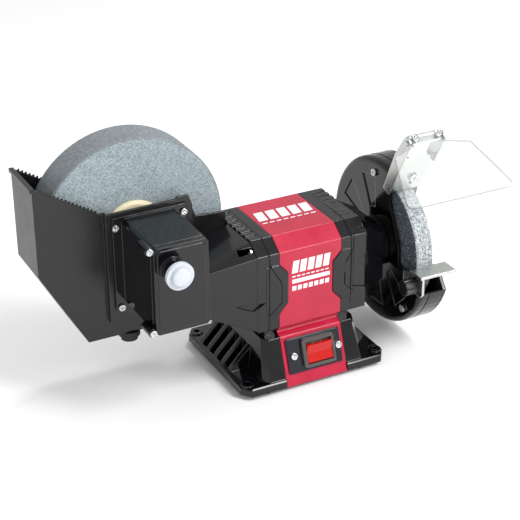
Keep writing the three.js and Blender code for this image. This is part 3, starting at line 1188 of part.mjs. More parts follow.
// Shallow petals pressed into the guard's side plates.
const PETAL_COUNT = 6;
const PETAL_PITCH = 42;
const PETAL_HALF_WIDTH = 14;
const PETAL_DEPTH = 1.2;
function petals(x0, x1) {
  return Array.from({ length: PETAL_COUNT }, (_, i) => {
    const angle = -45 - i * PETAL_PITCH;
    const [y0, z0] = guardPoint(angle, 38);
    const [y1, z1] = guardPoint(angle, 74);
    const dy = -Math.sin(rad(angle)) * PETAL_HALF_WIDTH;
    const dz = -Math.cos(rad(angle)) * PETAL_HALF_WIDTH;
    return prismX([
      [y0 + dy * 0.4, z0 + dz * 0.4], [y1 + dy, z1 + dz], [y1 - dy, z1 - dz], [y0 - dy * 0.4, z0 - dz * 0.4],
    ], x0, x1);
  });
}
const guardScrews = [[6.5, 184.4], [-59.2, 49.1]];
const EAR_RADIUS = 11;
const KNOB_BOLT_RADIUS = 3;
const drum = cut(
  join(
    drumShell, roofFlange,
    bracketPad,
    rodX(KNOB_Y, KNOB_Z, EAR_RADIUS, GUARD_LEFT_X, GUARD_LEFT_X + GUARD_WALL, 28),
  ),
  rodX(0, AXIS_Z, SHAFT_HOLE, GUARD_LEFT_X - 1, GUARD_LEFT_X + 4),
  rodX(KNOB_Y, KNOB_Z, KNOB_BOLT_RADIUS + TOUCH_GAP, GUARD_LEFT_X - 1, GUARD_LEFT_X + 4, 20),
  ...guardScrews.map(([y, z]) => rodX(y, z, SCREW_SHANK + TOUCH_GAP, GUARD_LEFT_X - 1, GUARD_LEFT_X + 4, 12)),
  ...petals(GUARD_LEFT_X - 1, GUARD_LEFT_X + PETAL_DEPTH),
  slotScrewHole,
);
add('guard_drum', drum, blackPlastic);

const coverX = GUARD_RIGHT_X + TOUCH_GAP;
const DOME_RADIUS = 44;
const DOME_TOP = 37;
const DOME_HEIGHT = 6.5;
const dome = (inset, x0, height) => hull([[DOME_RADIUS - inset, x0], [DOME_TOP - inset, x0 + height]].flatMap(
  ([r, x]) => Array.from({ length: 40 }, (_, i) => {
    const a = (i / 40) * 2 * Math.PI;
    return [x, r * Math.cos(a), AXIS_Z + r * Math.sin(a)];
  }),
));
add('guard_cover', cut(
  join(
    prismX(plateShape, coverX, coverX + COVER_DEPTH),
    dome(0, coverX + COVER_DEPTH - 1, DOME_HEIGHT),
  ),
  dome(2.2, coverX - 1, DOME_HEIGHT + COVER_DEPTH - 2.2),
  ...petals(coverX + COVER_DEPTH - PETAL_DEPTH, coverX + COVER_DEPTH + 1),
), blackPlastic);

guardScrews.forEach(([y, z], i) => {
  addScrew(`guard_screw_${i + 1}`, [GUARD_LEFT_X - TOUCH_GAP, y, z], LEFTWARD, [4, 2.4, SCREW_SHANK, 4],
    zinc);
});

// ---------------------------------------------------------------- tool rest

const REST_TOP_Z = AXIS_Z;
const LEG_X = 110;
const LEG_THICKNESS = 2.5;
const LEG_BACK_Y = -63;
const SLOT_REACH = 11;
const restBackY = REST_FRONT_Y + REST_DEPTH;
const restPlate = box(REST_X, REST_X + REST_WIDTH, REST_FRONT_Y, restBackY, REST_TOP_Z - REST_THICKNESS,
  REST_TOP_Z);
const restLeg = prismX([
  [REST_FRONT_Y + 1, REST_TOP_Z - 1], [REST_FRONT_Y + 1, REST_TOP_Z - REST_LEG + 4],
  [REST_FRONT_Y + 5, REST_TOP_Z - REST_LEG], [LEG_BACK_Y - 4, REST_TOP_Z - REST_LEG],
  [LEG_BACK_Y, REST_TOP_Z - REST_LEG + 4], [LEG_BACK_Y, REST_TOP_Z - 8], [restBackY, REST_TOP_Z - 3.2],
  [restBackY, REST_TOP_Z - 1],
], LEG_X, LEG_X + LEG_THICKNESS);
const slotHalf = KNOB_BOLT_RADIUS + TOUCH_GAP;
const restSlot = hull([KNOB_Y - 2, KNOB_Y + SLOT_REACH].flatMap((y) => Array.from({ length: 16 }, (_, i) => {
  const a = (i / 16) * 2 * Math.PI;
  return [
    [LEG_X - 1, y + slotHalf * Math.cos(a), KNOB_Z + slotHalf * Math.sin(a)],
    [LEG_X + LEG_THICKNESS + 1, y + slotHalf * Math.cos(a), KNOB_Z + slotHalf * Math.sin(a)],
  ];
}).flat()));
add('tool_rest', cut(join(restPlate, restLeg), restSlot), zinc);

const knobRight = LEG_X - TOUCH_GAP;
const FLUTE_COUNT = 10;
const flutes = Array.from({ length: FLUTE_COUNT }, (_, i) => {
  const a = (i / FLUTE_COUNT) * 2 * Math.PI;
  const reach = KNOB_RADIUS + 0.9;
  return rodX(KNOB_Y + reach * Math.cos(a), KNOB_Z + reach * Math.sin(a), 1.9, knobRight - KNOB_LENGTH - 1,
    knobRight - 3.5, 10);
});
add('rest_knob', join(
  cut(rodX(KNOB_Y, KNOB_Z, KNOB_RADIUS, knobRight - KNOB_LENGTH, knobRight, 40), ...flutes),
  rodX(KNOB_Y, KNOB_Z, KNOB_BOLT_RADIUS, knobRight - 1, GUARD_LEFT_X + GUARD_WALL + 2.5, 20),
), blackPlastic);

// ---------------------------------------------------------------- eye shield and bracket

const BRACKET_RIGHT_X = BRACKET_LEFT_X + BRACKET_WIDTH;
const FOOT_NARROWING = 7; // the right edge of the plate leans in towards its foot
const PIN_RADIUS = 2.5;
const ROD_RADIUS = 4;
const EAR_END_RADIUS = 6.5;
const HEM = 2; // how far the plate reaches below the foot line
const EAR_HEM = 5;

function bracketEar(x0) {
  const corners = [onBracket(-EAR_HEM, 0), onBracket(-EAR_HEM, BRACKET_EAR), onBracket(BRACKET_PLATE,
    BRACKET_EAR)];
  const roundEnd = Array.from({ length: 20 }, (_, i) => {
    const a = (i / 20) * 2 * Math.PI;
    return [HINGE_Y + EAR_END_RADIUS * Math.cos(a), HINGE_Z + EAR_END_RADIUS * Math.sin(a)];
  });
  const ring = [...corners, ...roundEnd];
  return hull(ring.flatMap(([y, z]) => [[x0, y, z], [x0 + BRACKET_SHEET, y, z]]));
}
const webShape = [
  [BRACKET_LEFT_X, -HEM], [BRACKET_RIGHT_X - FOOT_NARROWING, -HEM], [BRACKET_RIGHT_X, BRACKET_PLATE],
  [BRACKET_LEFT_X, BRACKET_PLATE],
];
const webGeometry = new THREE.ExtrudeGeometry(outline(webShape), { depth: BRACKET_SHEET,
  bevelEnabled: false });
webGeometry.translate(0, 0, -BRACKET_SHEET);
const SLOT_UP = 9;
const SLOT_DOWN = 3;
const slotRadius = SCREW_SHANK + TOUCH_GAP + 0.3;
const plateSlot = join(
  rodZ(SLOT_SCREW_X, SLOT_SCREW_UP + SLOT_DOWN, slotRadius, -4, 2, 16),
  rodZ(SLOT_SCREW_X, SLOT_SCREW_UP - SLOT_UP, slotRadius, -4, 2, 16),
  box(SLOT_SCREW_X - slotRadius, SLOT_SCREW_X + slotRadius, SLOT_SCREW_UP - SLOT_UP,
    SLOT_SCREW_UP + SLOT_DOWN, -4, 2),
);
const EAR_FOLD = 8; // the right ear starts above the guard
const rightEar = cut(
  bracketEar(BRACKET_RIGHT_X - BRACKET_SHEET),
  onPlate(box(BRACKET_LEFT_X, BRACKET_RIGHT_X + 1, -EAR_HEM - 10, BRACKET_PLATE - EAR_FOLD, -30, 20)),
);
const earHoles = rodX(HINGE_Y, HINGE_Z, PIN_RADIUS + BEARING_GAP, BRACKET_LEFT_X - 1, BRACKET_RIGHT_X + 1,
  24);
add('shield_bracket', cut(
  join(onPlate(cut(solid(webGeometry), plateSlot)), bracketEar(BRACKET_LEFT_X), rightEar),
  earHoles,
), zinc);

const plateOut = new THREE.Vector3(0, -Math.cos(lean), -Math.sin(lean));
const screwSeat = new THREE.Vector3(SLOT_SCREW_X, SLOT_SCREW_UP, TOUCH_GAP).applyMatrix4(bracketTurn);
addScrew('shield_slot_screw', screwSeat.toArray(), plateOut, [5, 3, SCREW_SHANK, 10], zinc);

// Shield frame: x across, y from the hinge down the sheet, z out of its front.
const shieldX = (BRACKET_LEFT_X + BRACKET_RIGHT_X) / 2;
const hang = rad(SHIELD_ANGLE);
const sheetDown = new THREE.Vector3(0, -Math.sin(hang), -Math.cos(hang));
const sheetOut = new THREE.Vector3(0, -Math.cos(hang), Math.sin(hang));
const shieldTurn = new THREE.Matrix4().makeBasis(new THREE.Vector3(-1, 0, 0), sheetDown, sheetOut)
  .setPosition(shieldX, HINGE_Y, HINGE_Z);
const onShield = (manifold) => placed(manifold, shieldTurn);
const rodInner = BRACKET_WIDTH / 2 - BRACKET_SHEET - RUN_GAP;
const FLAT_BACK = 1.6; // flat on the rod where the sheet lies
const sheetBack = FLAT_BACK + TOUCH_GAP;
const SHIELD_TOP = -6;
const SHIELD_SCREW_X = rodInner - 5;

function shieldShape() {
  const c = SHIELD_CORNER;
  const shape = new THREE.Shape();
  shape.moveTo(-rodInner, SHIELD_TOP);
  shape.lineTo(rodInner, SHIELD_TOP);
  shape.lineTo(rodInner, -SHIELD_TOP + 2.5);
  shape.lineTo(SHIELD_NECK_HALF, SHIELD_NECK);
  shape.lineTo(SHIELD_HALF, SHIELD_LENGTH - c);
  shape.quadraticCurveTo(SHIELD_HALF + 1, SHIELD_LENGTH, SHIELD_HALF - c, SHIELD_LENGTH);
  shape.lineTo(-SHIELD_HALF + c, SHIELD_LENGTH);
  shape.quadraticCurveTo(-SHIELD_HALF - 1, SHIELD_LENGTH, -SHIELD_HALF, SHIELD_LENGTH - c);
  shape.lineTo(-SHIELD_NECK_HALF, SHIELD_NECK);
  shape.lineTo(-rodInner, -SHIELD_TOP + 2.5);
  shape.closePath();
  return shape;
}
const sheetGeometry = new THREE.ExtrudeGeometry(shieldShape(), { depth: SHIELD_SHEET, bevelEnabled: false,
  curveSegments: 8 });
sheetGeometry.translate(0, 0, sheetBack);
const shieldScrewXs = [SHIELD_SCREW_X, -SHIELD_SCREW_X];
const shieldScrewHoles = shieldScrewXs.map((x) => rodZ(x, 0, SCREW_SHANK + TOUCH_GAP, -2.6, 12, 12));
add('eye_shield', onShield(cut(solid(sheetGeometry), ...shieldScrewHoles)), clearSheet);

const clampRod = cut(
  join(
    rodX(0, 0, ROD_RADIUS, -rodInner, rodInner, 24),
    rodX(0, 0, PIN_RADIUS, -BRACKET_WIDTH / 2 - 1.5, BRACKET_WIDTH / 2 + 1.5, 24),
  ),
  box(-rodInner - TOUCH_GAP, rodInner + TOUCH_GAP, -ROD_RADIUS - 1, ROD_RADIUS + 1, FLAT_BACK,
    ROD_RADIUS + 1),
  ...shieldScrewHoles,
);
add('shield_pin', onShield(clampRod), zinc);
shieldScrewXs.forEach((x, i) => {
  const origin = new THREE.Vector3(x, 0, sheetBack + SHIELD_SHEET + TOUCH_GAP).applyMatrix4(shieldTurn);
  const sizes = [4, 2.6, SCREW_SHANK, 7];
  addScrew(i ? 'shield_screw_right' : 'shield_screw_left', origin.toArray(), sheetOut, sizes, zinc);
});

// ---------------------------------------------------------------- origin under the machine

const bounds = new THREE.Box3().setFromObject(machine);
const middle = bounds.getCenter(new THREE.Vector3());
machine.children.forEach((mesh) => {
  mesh.geometry.applyMatrix4(mesh.matrix.identity().setPosition(mesh.position));
  mesh.position.set(0, 0, 0);
  mesh.geometry.translate(-middle.x, -middle.y, -bounds.min.z);
});

export default machine;
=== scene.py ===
# %% [markdown]
# # A combined wet and dry bench grinder
# The frame holds every solid of the machine, already in place. This lesson dresses them: it
# rounds their edges, gives each one a finish built from nodes, and adds the small pieces that a
# solid model leaves out. Everything is in metres, and X runs along the motor shaft.

import math

import bmesh
import bpy
from mathutils import Matrix, Vector


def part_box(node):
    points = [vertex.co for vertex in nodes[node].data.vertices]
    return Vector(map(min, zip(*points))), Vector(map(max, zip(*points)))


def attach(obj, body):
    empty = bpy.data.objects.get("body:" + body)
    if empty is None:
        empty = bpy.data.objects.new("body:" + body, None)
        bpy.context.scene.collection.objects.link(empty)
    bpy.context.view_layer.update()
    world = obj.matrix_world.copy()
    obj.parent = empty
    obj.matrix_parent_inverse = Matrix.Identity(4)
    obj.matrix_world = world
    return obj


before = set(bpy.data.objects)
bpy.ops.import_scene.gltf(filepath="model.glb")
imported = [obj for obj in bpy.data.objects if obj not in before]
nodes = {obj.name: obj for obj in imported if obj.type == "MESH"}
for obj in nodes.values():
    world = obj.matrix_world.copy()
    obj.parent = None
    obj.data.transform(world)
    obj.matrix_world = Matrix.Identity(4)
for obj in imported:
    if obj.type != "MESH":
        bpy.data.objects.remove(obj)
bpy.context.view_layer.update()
MM = 0.001

# %% [markdown]
# ## Camera
# A long lens a metre and a half away keeps the lines nearly parallel, as a catalogue view does.
# The camera is aimed by a turn about the upright axis, a tilt and a very small roll, so its
# matrix is written straight from those three angles.

# %% Aim the camera
AIM = Vector((0.01105, 0.02199, 0.12044))
TURN, TILT, ROLL = -0.47703, 0.47253, -0.00636
DISTANCE = 1.5839
FOCAL, SENSOR_WIDTH = 103.81, 36  # millimetres
VIEW_REACH = 50


def camera_axes(turn, tilt, roll):
    level = math.cos(tilt)
    back = Vector((math.sin(turn) * level, -math.cos(turn) * level, math.sin(tilt)))
    across = Vector((math.cos(turn), math.sin(turn), 0))
    up = back.cross(across)
    right = math.cos(roll) * across + math.sin(roll) * up
    return right, back.cross(right), back


def add_camera():
    data = bpy.data.cameras.new("camera")
    data.lens, data.sensor_width = FOCAL, SENSOR_WIDTH
    data.clip_end = VIEW_REACH
    camera = bpy.data.objects.new("camera", data)
    bpy.context.scene.collection.objects.link(camera)
    right, up, back = camera_axes(TURN, TILT, ROLL)
    turned = Matrix((right, up, back)).transposed().to_4x4()
    camera.matrix_world = Matrix.Translation(AIM + back * DISTANCE) @ turned
    bpy.context.scene.camera = camera
    return camera


camera = add_camera()
print("camera at", [round(v, 3) for v in camera.matrix_world.translation])

# %% [markdown]
# ## Light and floor
# Black plastic shows almost nothing but reflections, so the light matters more than the paint.
# A bright even dome gives the soft grey sheen on flat faces, and three large soft panels give
# the brighter strips along edges. The floor is nearly white and takes a faint shadow.

# %% Set up the studio
DOME_STRENGTH = 0.7
FLOOR_HALF = 12
PANELS = (  # name, place, what it is aimed at, width, height, watts
    ("edge_panel", (0.82, -1.25, 1.5), (0, 0, 0.15), 0.5, 1.3, 36),
    ("top_edge_panel", (0.8, 0.5, 1.9), (0, 0, 0.15), 0.4, 0.4, 9),
    ("left_panel", (-1.7, -0.9, 0.7), (-0.1, 0, 0.1), 0.5, 1.2, 4),
)


def add_panel(name, at, aim, width, height, power):
    data = bpy.data.lights.new(name, "AREA")
    data.shape, data.size, data.size_y = "RECTANGLE", width, height
    data.energy = power
    lamp = bpy.data.objects.new(name, data)
    bpy.context.scene.collection.objects.link(lamp)
    lamp.location = at
    lamp.rotation_euler = (Vector(aim) - Vector(at)).to_track_quat("-Z", "Y").to_euler()


def add_dome(strength):
    world = bpy.data.worlds.new("soft_dome")
    bpy.context.scene.world = world
    world.use_nodes = True
    background = world.node_tree.nodes["Background"]
    background.inputs["Color"].default_value = (1, 1, 1, 1)
    background.inputs["Strength"].default_value = strength


add_dome(DOME_STRENGTH)
for panel in PANELS:
    add_panel(*panel)
bpy.context.scene.view_settings.view_transform = "Standard"


def add_floor(half):
    mesh = bpy.data.meshes.new("floor")
    corners = [(-half, -half, 0), (half, -half, 0), (half, half, 0), (-half, half, 0)]
    mesh.from_pydata(corners, [], [(0, 1, 2, 3)])
    floor = bpy.data.objects.new("floor", mesh)
    bpy.context.scene.collection.objects.link(floor)
    return floor


floor = add_floor(FLOOR_HALF)
print("panels:", len(PANELS), "dome:", DOME_STRENGTH, "floor half:", FLOOR_HALF)

# %% [markdown]
# ## Shared effects
# The same few effects turn up on many finishes: the fine grain of moulded plastic, scuffs and
# fine scratches, cloudy wear, and the crystals of a grinding stone. Each is built once as a
# node group with named inputs and outputs, and then set to its own strength in each finish.

# %% Helpers for node groups
def new_group(name, inputs, outputs):
    group = bpy.data.node_groups.new(name, "ShaderNodeTree")
    for label, kind, value in inputs:
        socket = group.interface.new_socket(label, in_out="INPUT", socket_type=kind)
        if value is not None:
            socket.default_value = value
    for label, kind in outputs:
        group.interface.new_socket(label, in_out="OUTPUT", socket_type=kind)
    start = group.nodes.new("NodeGroupInput")
    end = group.nodes.new("NodeGroupOutput")
    return group, start, end


class Wires:
    """Adds nodes to a tree and joins them, so a recipe reads from top to bottom."""

    def __init__(self, tree):
        self.tree = tree

    def node(self, kind, **settings):
        made = self.tree.nodes.new(kind)
        for key, value in settings.items():
            setattr(made, key, value)
        return made

    def join(self, out, into):
        self.tree.links.new(out, into)

    def math(self, operation, a, b=None):
        made = self.node("ShaderNodeMath", operation=operation)
        for slot, value in enumerate([a, b]):
            if value is None:
                continue
            if isinstance(value, (int, float)):
                made.inputs[slot].default_value = value
            else:
                self.join(value, made.inputs[slot])
        return made.outputs[0]

    def noise(self, vector, scale, detail=3.0, roughness=0.5):
        made = self.node("ShaderNodeTexNoise")
        self.join(vector, made.inputs["Vector"])
        self.feed(made.inputs["Scale"], scale)
        made.inputs["Detail"].default_value = detail
        made.inputs["Roughness"].default_value = roughness
        return made.outputs["Fac"]

    def feed(self, socket, value):
        if isinstance(value, (int, float, tuple, list)):
            socket.default_value = value
        else:
            self.join(value, socket)

    def ramp(self, value, low, high, to_low=0.0, to_high=1.0):
        made = self.node("ShaderNodeMapRange")
        self.join(value, made.inputs["Value"])
        made.inputs["From Min"].default_value = low
        made.inputs["From Max"].default_value = high
        made.inputs["To Min"].default_value = to_low
        made.inputs["To Max"].default_value = to_high
        return made.outputs["Result"]

    def mix(self, factor, a, b):
        made = self.node("ShaderNodeMix", data_type="RGBA")
        self.feed(made.inputs[0], factor)
        self.feed(made.inputs[6], a)
        self.feed(made.inputs[7], b)
        return made.outputs[2]


# %% [markdown]
# Grain and clouds are two sizes of the same noise. Scuffs are noise stretched into thin lines and
# kept to a few patches, because wear is never even. Crystals are cells, each with its own tone.

# %% Fine grain, scuffs, clouds and stone crystals
def build_grain():
    group, start, end = new_group(
        "fine_grain",
        [("Vector", "NodeSocketVector", None), ("Grain Size", "NodeSocketFloat", 0.0006)],
        [("Height", "NodeSocketFloat"), ("Patch", "NodeSocketFloat")],
    )
    wires = Wires(group)
    scale = wires.math("DIVIDE", 1.0, start.outputs["Grain Size"])
    fine = wires.noise(start.outputs["Vector"], scale, 2.0, 0.6)
    patch = wires.noise(start.outputs["Vector"], 28.0, 4.0, 0.55)
    wires.join(fine, end.inputs["Height"])
    wires.join(patch, end.inputs["Patch"])
    return group


def build_scuffs():
    group, start, end = new_group(
        "scuffs",
        [
            ("Vector", "NodeSocketVector", None),
            ("Stretch", "NodeSocketVector", (420.0, 420.0, 26.0)),
            ("Amount", "NodeSocketFloat", 0.35),
        ],
        [("Mask", "NodeSocketFloat")],
    )
    wires = Wires(group)
    stretched = wires.node("ShaderNodeVectorMath", operation="MULTIPLY")
    wires.join(start.outputs["Vector"], stretched.inputs[0])
    wires.join(start.outputs["Stretch"], stretched.inputs[1])
    lines = wires.noise(stretched.outputs[0], 1.0, 3.0, 0.7)
    where = wires.noise(start.outputs["Vector"], 22.0, 3.0, 0.5)
    sharp = wires.ramp(lines, 0.6, 0.8)
    patches = wires.ramp(where, 0.45, 0.7)
    both = wires.math("MULTIPLY", sharp, patches)
    wires.join(wires.math("MULTIPLY", both, start.outputs["Amount"]), end.inputs["Mask"])
    return group


def build_crystals():
    group, start, end = new_group(
        "stone_crystals",
        [("Vector", "NodeSocketVector", None), ("Crystal Size", "NodeSocketFloat", 0.0009)],
        [("Tone", "NodeSocketFloat"), ("Height", "NodeSocketFloat"), ("Painted Glint", "NodeSocketFloat")],
    )
    wires = Wires(group)
    scale = wires.math("DIVIDE", 1.0, start.outputs["Crystal Size"])
    cells = wires.node("ShaderNodeTexVoronoi")
    wires.join(start.outputs["Vector"], cells.inputs["Vector"])
    wires.join(scale, cells.inputs["Scale"])
    split = wires.node("ShaderNodeSeparateColor")
    wires.join(cells.outputs["Color"], split.inputs[0])
    half = wires.math("MULTIPLY", scale, 0.4)
    clumps = wires.noise(start.outputs["Vector"], half, 3.0, 0.6)
    cell_tone = wires.math("MULTIPLY", split.outputs[0], 0.55)
    tone = wires.math("ADD", cell_tone, wires.math("MULTIPLY", clumps, 0.45))
    wires.join(tone, end.inputs["Tone"])
    wires.join(wires.math("SUBTRACT", 1.0, cells.outputs["Distance"]), end.inputs["Height"])
    # The few brightest cells, used on the stones as painted glints.
    wires.join(wires.ramp(split.outputs[1], 0.86, 0.97), end.inputs["Painted Glint"])
    return group


GRAIN = build_grain()
SCUFFS = build_scuffs()
CRYSTALS = build_crystals()
print("groups:", GRAIN.name, SCUFFS.name, CRYSTALS.name)

# %% [markdown]
# ## Finishes
# Every finish starts from the same shader and the place of each point in the machine, in
# metres, so a grain of half a millimetre is written as 0.0005. Gloss mostly comes from roughness
# that varies over the surface; the clear sheets and the floor keep one flat value.

# %% A starting point for every finish
def start_finish(name, roughness=0.5, metallic=0.0):
    material = bpy.data.materials.new(name)
    material.use_nodes = True
    tree = material.node_tree
    shader = tree.nodes["Principled BSDF"]
    shader.inputs["Roughness"].default_value = roughness
    shader.inputs["Metallic"].default_value = metallic
    wires = Wires(tree)
    place = wires.node("ShaderNodeTexCoord").outputs["Object"]
    return material, shader, wires, place


def use_group(wires, group, place, **inputs):
    made = wires.node("ShaderNodeGroup")
    made.node_tree = group
    wires.join(place, made.inputs["Vector"])
    for label, value in inputs.items():
        made.inputs[label.replace("_", " ")].default_value = value
    return made.outputs


EDGE_ROUND = 1.5  # millimetres
SCUFF_ROUGHNESS = 0.25


def add_bump(wires, shader, height, depth, strength=1.0, rounding=EDGE_ROUND):
    bump = wires.node("ShaderNodeBump")
    if rounding:
        edge = wires.node("ShaderNodeBevel", samples=6)
        edge.inputs["Radius"].default_value = rounding * MM
        wires.join(edge.outputs["Normal"], bump.inputs["Normal"])
    bump.inputs["Distance"].default_value = depth
    bump.inputs["Strength"].default_value = strength
    wires.join(height, bump.inputs["Height"])
    wires.join(bump.outputs["Normal"], shader.inputs["Normal"])


def rgb(red, green, blue):
    """A colour given as it looks on a screen, turned into the linear numbers a shader needs."""
    def linear(value):
        share = value / 255
        return share / 12.92 if share <= 0.04045 else ((share + 0.055) / 1.055) ** 2.4
    return (linear(red), linear(green), linear(blue), 1.0)


def toned(colour, times, plus=0.0):
    """The same colour made lighter or darker, never past full brightness."""
    return tuple(min(1.0, c * times + plus) for c in colour[:3]) + (1.0,)


# %% [markdown]
# Moulded plastic has a fine grain and is a little paler where it is worn. One recipe makes all of
# them, and each differs in colour, gloss, size of grain and amount of scuffing.

# %% Moulded plastics
def plastic(name, colour, rough_low, rough_high, grain=0.0006, depth=0.00002, scuff=0.3, ior=1.5):
    material, shader, wires, place = start_finish(name)
    grains = use_group(wires, GRAIN, place, Grain_Size=grain)
    marks = use_group(wires, SCUFFS, place, Amount=scuff)
    tint = wires.mix(wires.ramp(grains["Patch"], 0.35, 0.7, 0.0, 0.3), colour, toned(colour, 1.5, 0.006))
    worn = wires.mix(marks["Mask"], tint, toned(colour, 2.2, 0.03))
    wires.join(worn, shader.inputs["Base Color"])
    base = wires.ramp(grains["Patch"], 0.3, 0.7, rough_low, rough_high)
    rougher = wires.math("MULTIPLY", marks["Mask"], SCUFF_ROUGHNESS)
    wires.join(wires.math("ADD", base, rougher), shader.inputs["Roughness"])
    shader.inputs["IOR"].default_value = ior
    add_bump(wires, shader, grains["Height"], depth)
    return material


BODY_BLACK = plastic("moulded_black", rgb(6, 6, 10), 0.1, 0.15)
BASE_BLACK = plastic("base_black", rgb(5, 5, 9), 0.07, 0.12, 0.0008, 0.00001)
BOX_BLACK = plastic("gearbox_black", rgb(6, 6, 10), 0.08, 0.13, 0.0005, 0.000008, 0.25)
TRAY_BLACK = plastic("tray_black", rgb(15, 13, 15), 0.24, 0.36, 0.0007, 0.00002, 0.5)
GUARD_BLACK = plastic("guard_black", rgb(5, 5, 6), 0.07, 0.13, 0.0009, 0.00001, 0.15, 1.42)
KNOB_BLACK = plastic("knob_black", rgb(14, 14, 15), 0.2, 0.3)
NAVY = plastic("switch_plate_navy", rgb(14, 16, 26), 0.2, 0.3)
CREAM = plastic("hub_cream", rgb(212, 202, 168), 0.4, 0.5, 0.0008, 0.00002, 0.1)
WHITE = plastic("cap_white", rgb(190, 196, 204), 0.12, 0.2, 0.0008, 0.000004, 0.05)
RUBBER = plastic("rubber_black", rgb(13, 13, 14), 0.5, 0.7, 0.0005, 0.00003, 0.1)
PRINT = plastic("print_white", rgb(226, 218, 222), 0.35, 0.45, 0.0005, 0.000004, 0.1)


# %% [markdown]
# Powder paint lies in an even, slightly uneven-toned coat. It is a smooth red with soft patches
# and few scuffs, rougher than the plastic beside it.

# %% Red powder paint on bent sheet
def red_paint():
    material, shader, wires, place = start_finish("red_paint")
    grains = use_group(wires, GRAIN, place, Grain_Size=0.0007)
    marks = use_group(wires, SCUFFS, place, Amount=0.12)
    deep, bright = rgb(170, 12, 48), rgb(184, 18, 58)
    tint = wires.mix(wires.ramp(grains["Patch"], 0.35, 0.7), deep, bright)
    wires.join(wires.mix(marks["Mask"], tint, rgb(230, 120, 140)), shader.inputs["Base Color"])
    wires.join(wires.ramp(grains["Patch"], 0.3, 0.7, 0.2, 0.28), shader.inputs["Roughness"])
    add_bump(wires, shader, grains["Height"], 0.000015)
    return material


RED = red_paint()
print("paint:", RED.name)


# %% [markdown]
# Metals differ by how they were worked: turned steel has fine rings, rolled sheet has long faint
# lines and stacked laminations have close stripes. The same scuffs, stretched each their own way,
# make all of these.

# %% Metals
def metal(name, colour, rough_low, rough_high, stretch, scuff=0.5, depth=0.00001):
    material, shader, wires, place = start_finish(name, metallic=1.0)
    grains = use_group(wires, GRAIN, place, Grain_Size=0.002)
    marks = use_group(wires, SCUFFS, place, Stretch=stretch, Amount=scuff)
    wires.join(wires.mix(grains["Patch"], colour, toned(colour, 1.18)), shader.inputs["Base Color"])
    base = wires.ramp(grains["Patch"], 0.3, 0.7, rough_low, rough_high)
    rougher = wires.math("MULTIPLY", marks["Mask"], SCUFF_ROUGHNESS)
    wires.join(wires.math("ADD", base, rougher), shader.inputs["Roughness"])
    add_bump(wires, shader, marks["Mask"], depth)
    return material


ZINC_SHEET = metal("zinc_sheet", rgb(190, 193, 189), 0.2, 0.34, (700.0, 60.0, 60.0))
ZINC_SCREW = metal("zinc_screw", rgb(200, 202, 204), 0.18, 0.3, (500.0, 500.0, 500.0))
STEEL = metal("turned_steel", rgb(168, 170, 174), 0.2, 0.32, (1400.0, 60.0, 60.0))
LAMINATION = metal("steel_laminations", rgb(110, 112, 116), 0.35, 0.5, (1900.0, 10.0, 10.0), 1.0, 0.0001)
COPPER = metal("copper_windings", rgb(190, 112, 66), 0.25, 0.4, (1500.0, 30.0, 30.0), 1.0, 0.0002)
BRONZE = metal("cast_bronze", rgb(176, 128, 64), 0.3, 0.45, (300.0, 300.0, 300.0))
GEAR_STEEL = metal("gear_steel", rgb(140, 142, 148), 0.25, 0.38, (900.0, 90.0, 90.0))


# %% [markdown]
# ## Grinding stones
# A stone is a mass of crystals, so its colour comes from many small cells of slightly different
# tone, and a few cells are painted near white as painted glints, mostly on the lit faces. The rim
# and the flat sides carry painted light and shade over the stone's own tones: the wet stone's sides
# are painted lighter and its rim darker, and the dry stone's sides are painted darker and its rim
# lighter. How far a point is from the axle tells the two apart.

# %% Grinding stones
def rim_mask(wires, place, name, axle, edge):
    """1 on the working rim of a wheel and 0 on its flat sides. axle is 0 for X and 1 for Y."""
    low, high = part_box(name)
    middle = nodes[name].matrix_world.inverted() @ ((Vector(low) + Vector(high)) / 2)
    away = wires.node("ShaderNodeVectorMath", operation="SUBTRACT")
    wires.join(place, away.inputs[0])
    away.inputs[1].default_value = middle
    flat = wires.node("ShaderNodeVectorMath", operation="MULTIPLY")
    wires.join(away.outputs[0], flat.inputs[0])
    flat.inputs[1].default_value = (0, 1, 1) if axle == 0 else (1, 0, 1)
    reach = wires.node("ShaderNodeVectorMath", operation="LENGTH")
    wires.join(flat.outputs[0], reach.inputs[0])
    return wires.ramp(reach.outputs["Value"], edge - 0.0006, edge - 0.0001)


def stone(name, node, axle, radius, side, rim_tones_and_painted_light, painted_glint_colour, crystal, depth, painted_glint_share):
    material, shader, wires, place = start_finish(name, roughness=0.9)
    grains = use_group(wires, CRYSTALS, place, Crystal_Size=crystal)
    clouds = use_group(wires, GRAIN, place, Grain_Size=0.004)
    spread = wires.ramp(grains["Tone"], 0.2, 0.8)
    # Painted light and shade: the side and rim colours hold the stone's own tone range, lighter on the
    # lit faces and darker on the shaded ones.
    side_with_painted_light = wires.mix(spread, side[0], side[1])
    rim_with_painted_light = wires.mix(spread, rim_tones_and_painted_light[0], rim_tones_and_painted_light[1])
    mask = rim_mask(wires, place, node, axle, radius)
    body = wires.mix(mask, side_with_painted_light, rim_with_painted_light)
    cloudy = wires.mix(wires.ramp(clouds["Patch"], 0.35, 0.75, 0.0, 0.12), body, side[1])
    # Painted glints: a few cells painted near white, with more of them on the lit faces.
    painted_glint = wires.math("MULTIPLY", grains["Painted Glint"], wires.ramp(mask, 0.0, 1.0, painted_glint_share[0], painted_glint_share[1]))
    wires.join(wires.mix(painted_glint, cloudy, painted_glint_colour), shader.inputs["Base Color"])
    wires.join(wires.ramp(painted_glint, 0.0, 1.0, 0.92, 0.45), shader.inputs["Roughness"])
    add_bump(wires, shader, grains["Height"], depth)
    return material


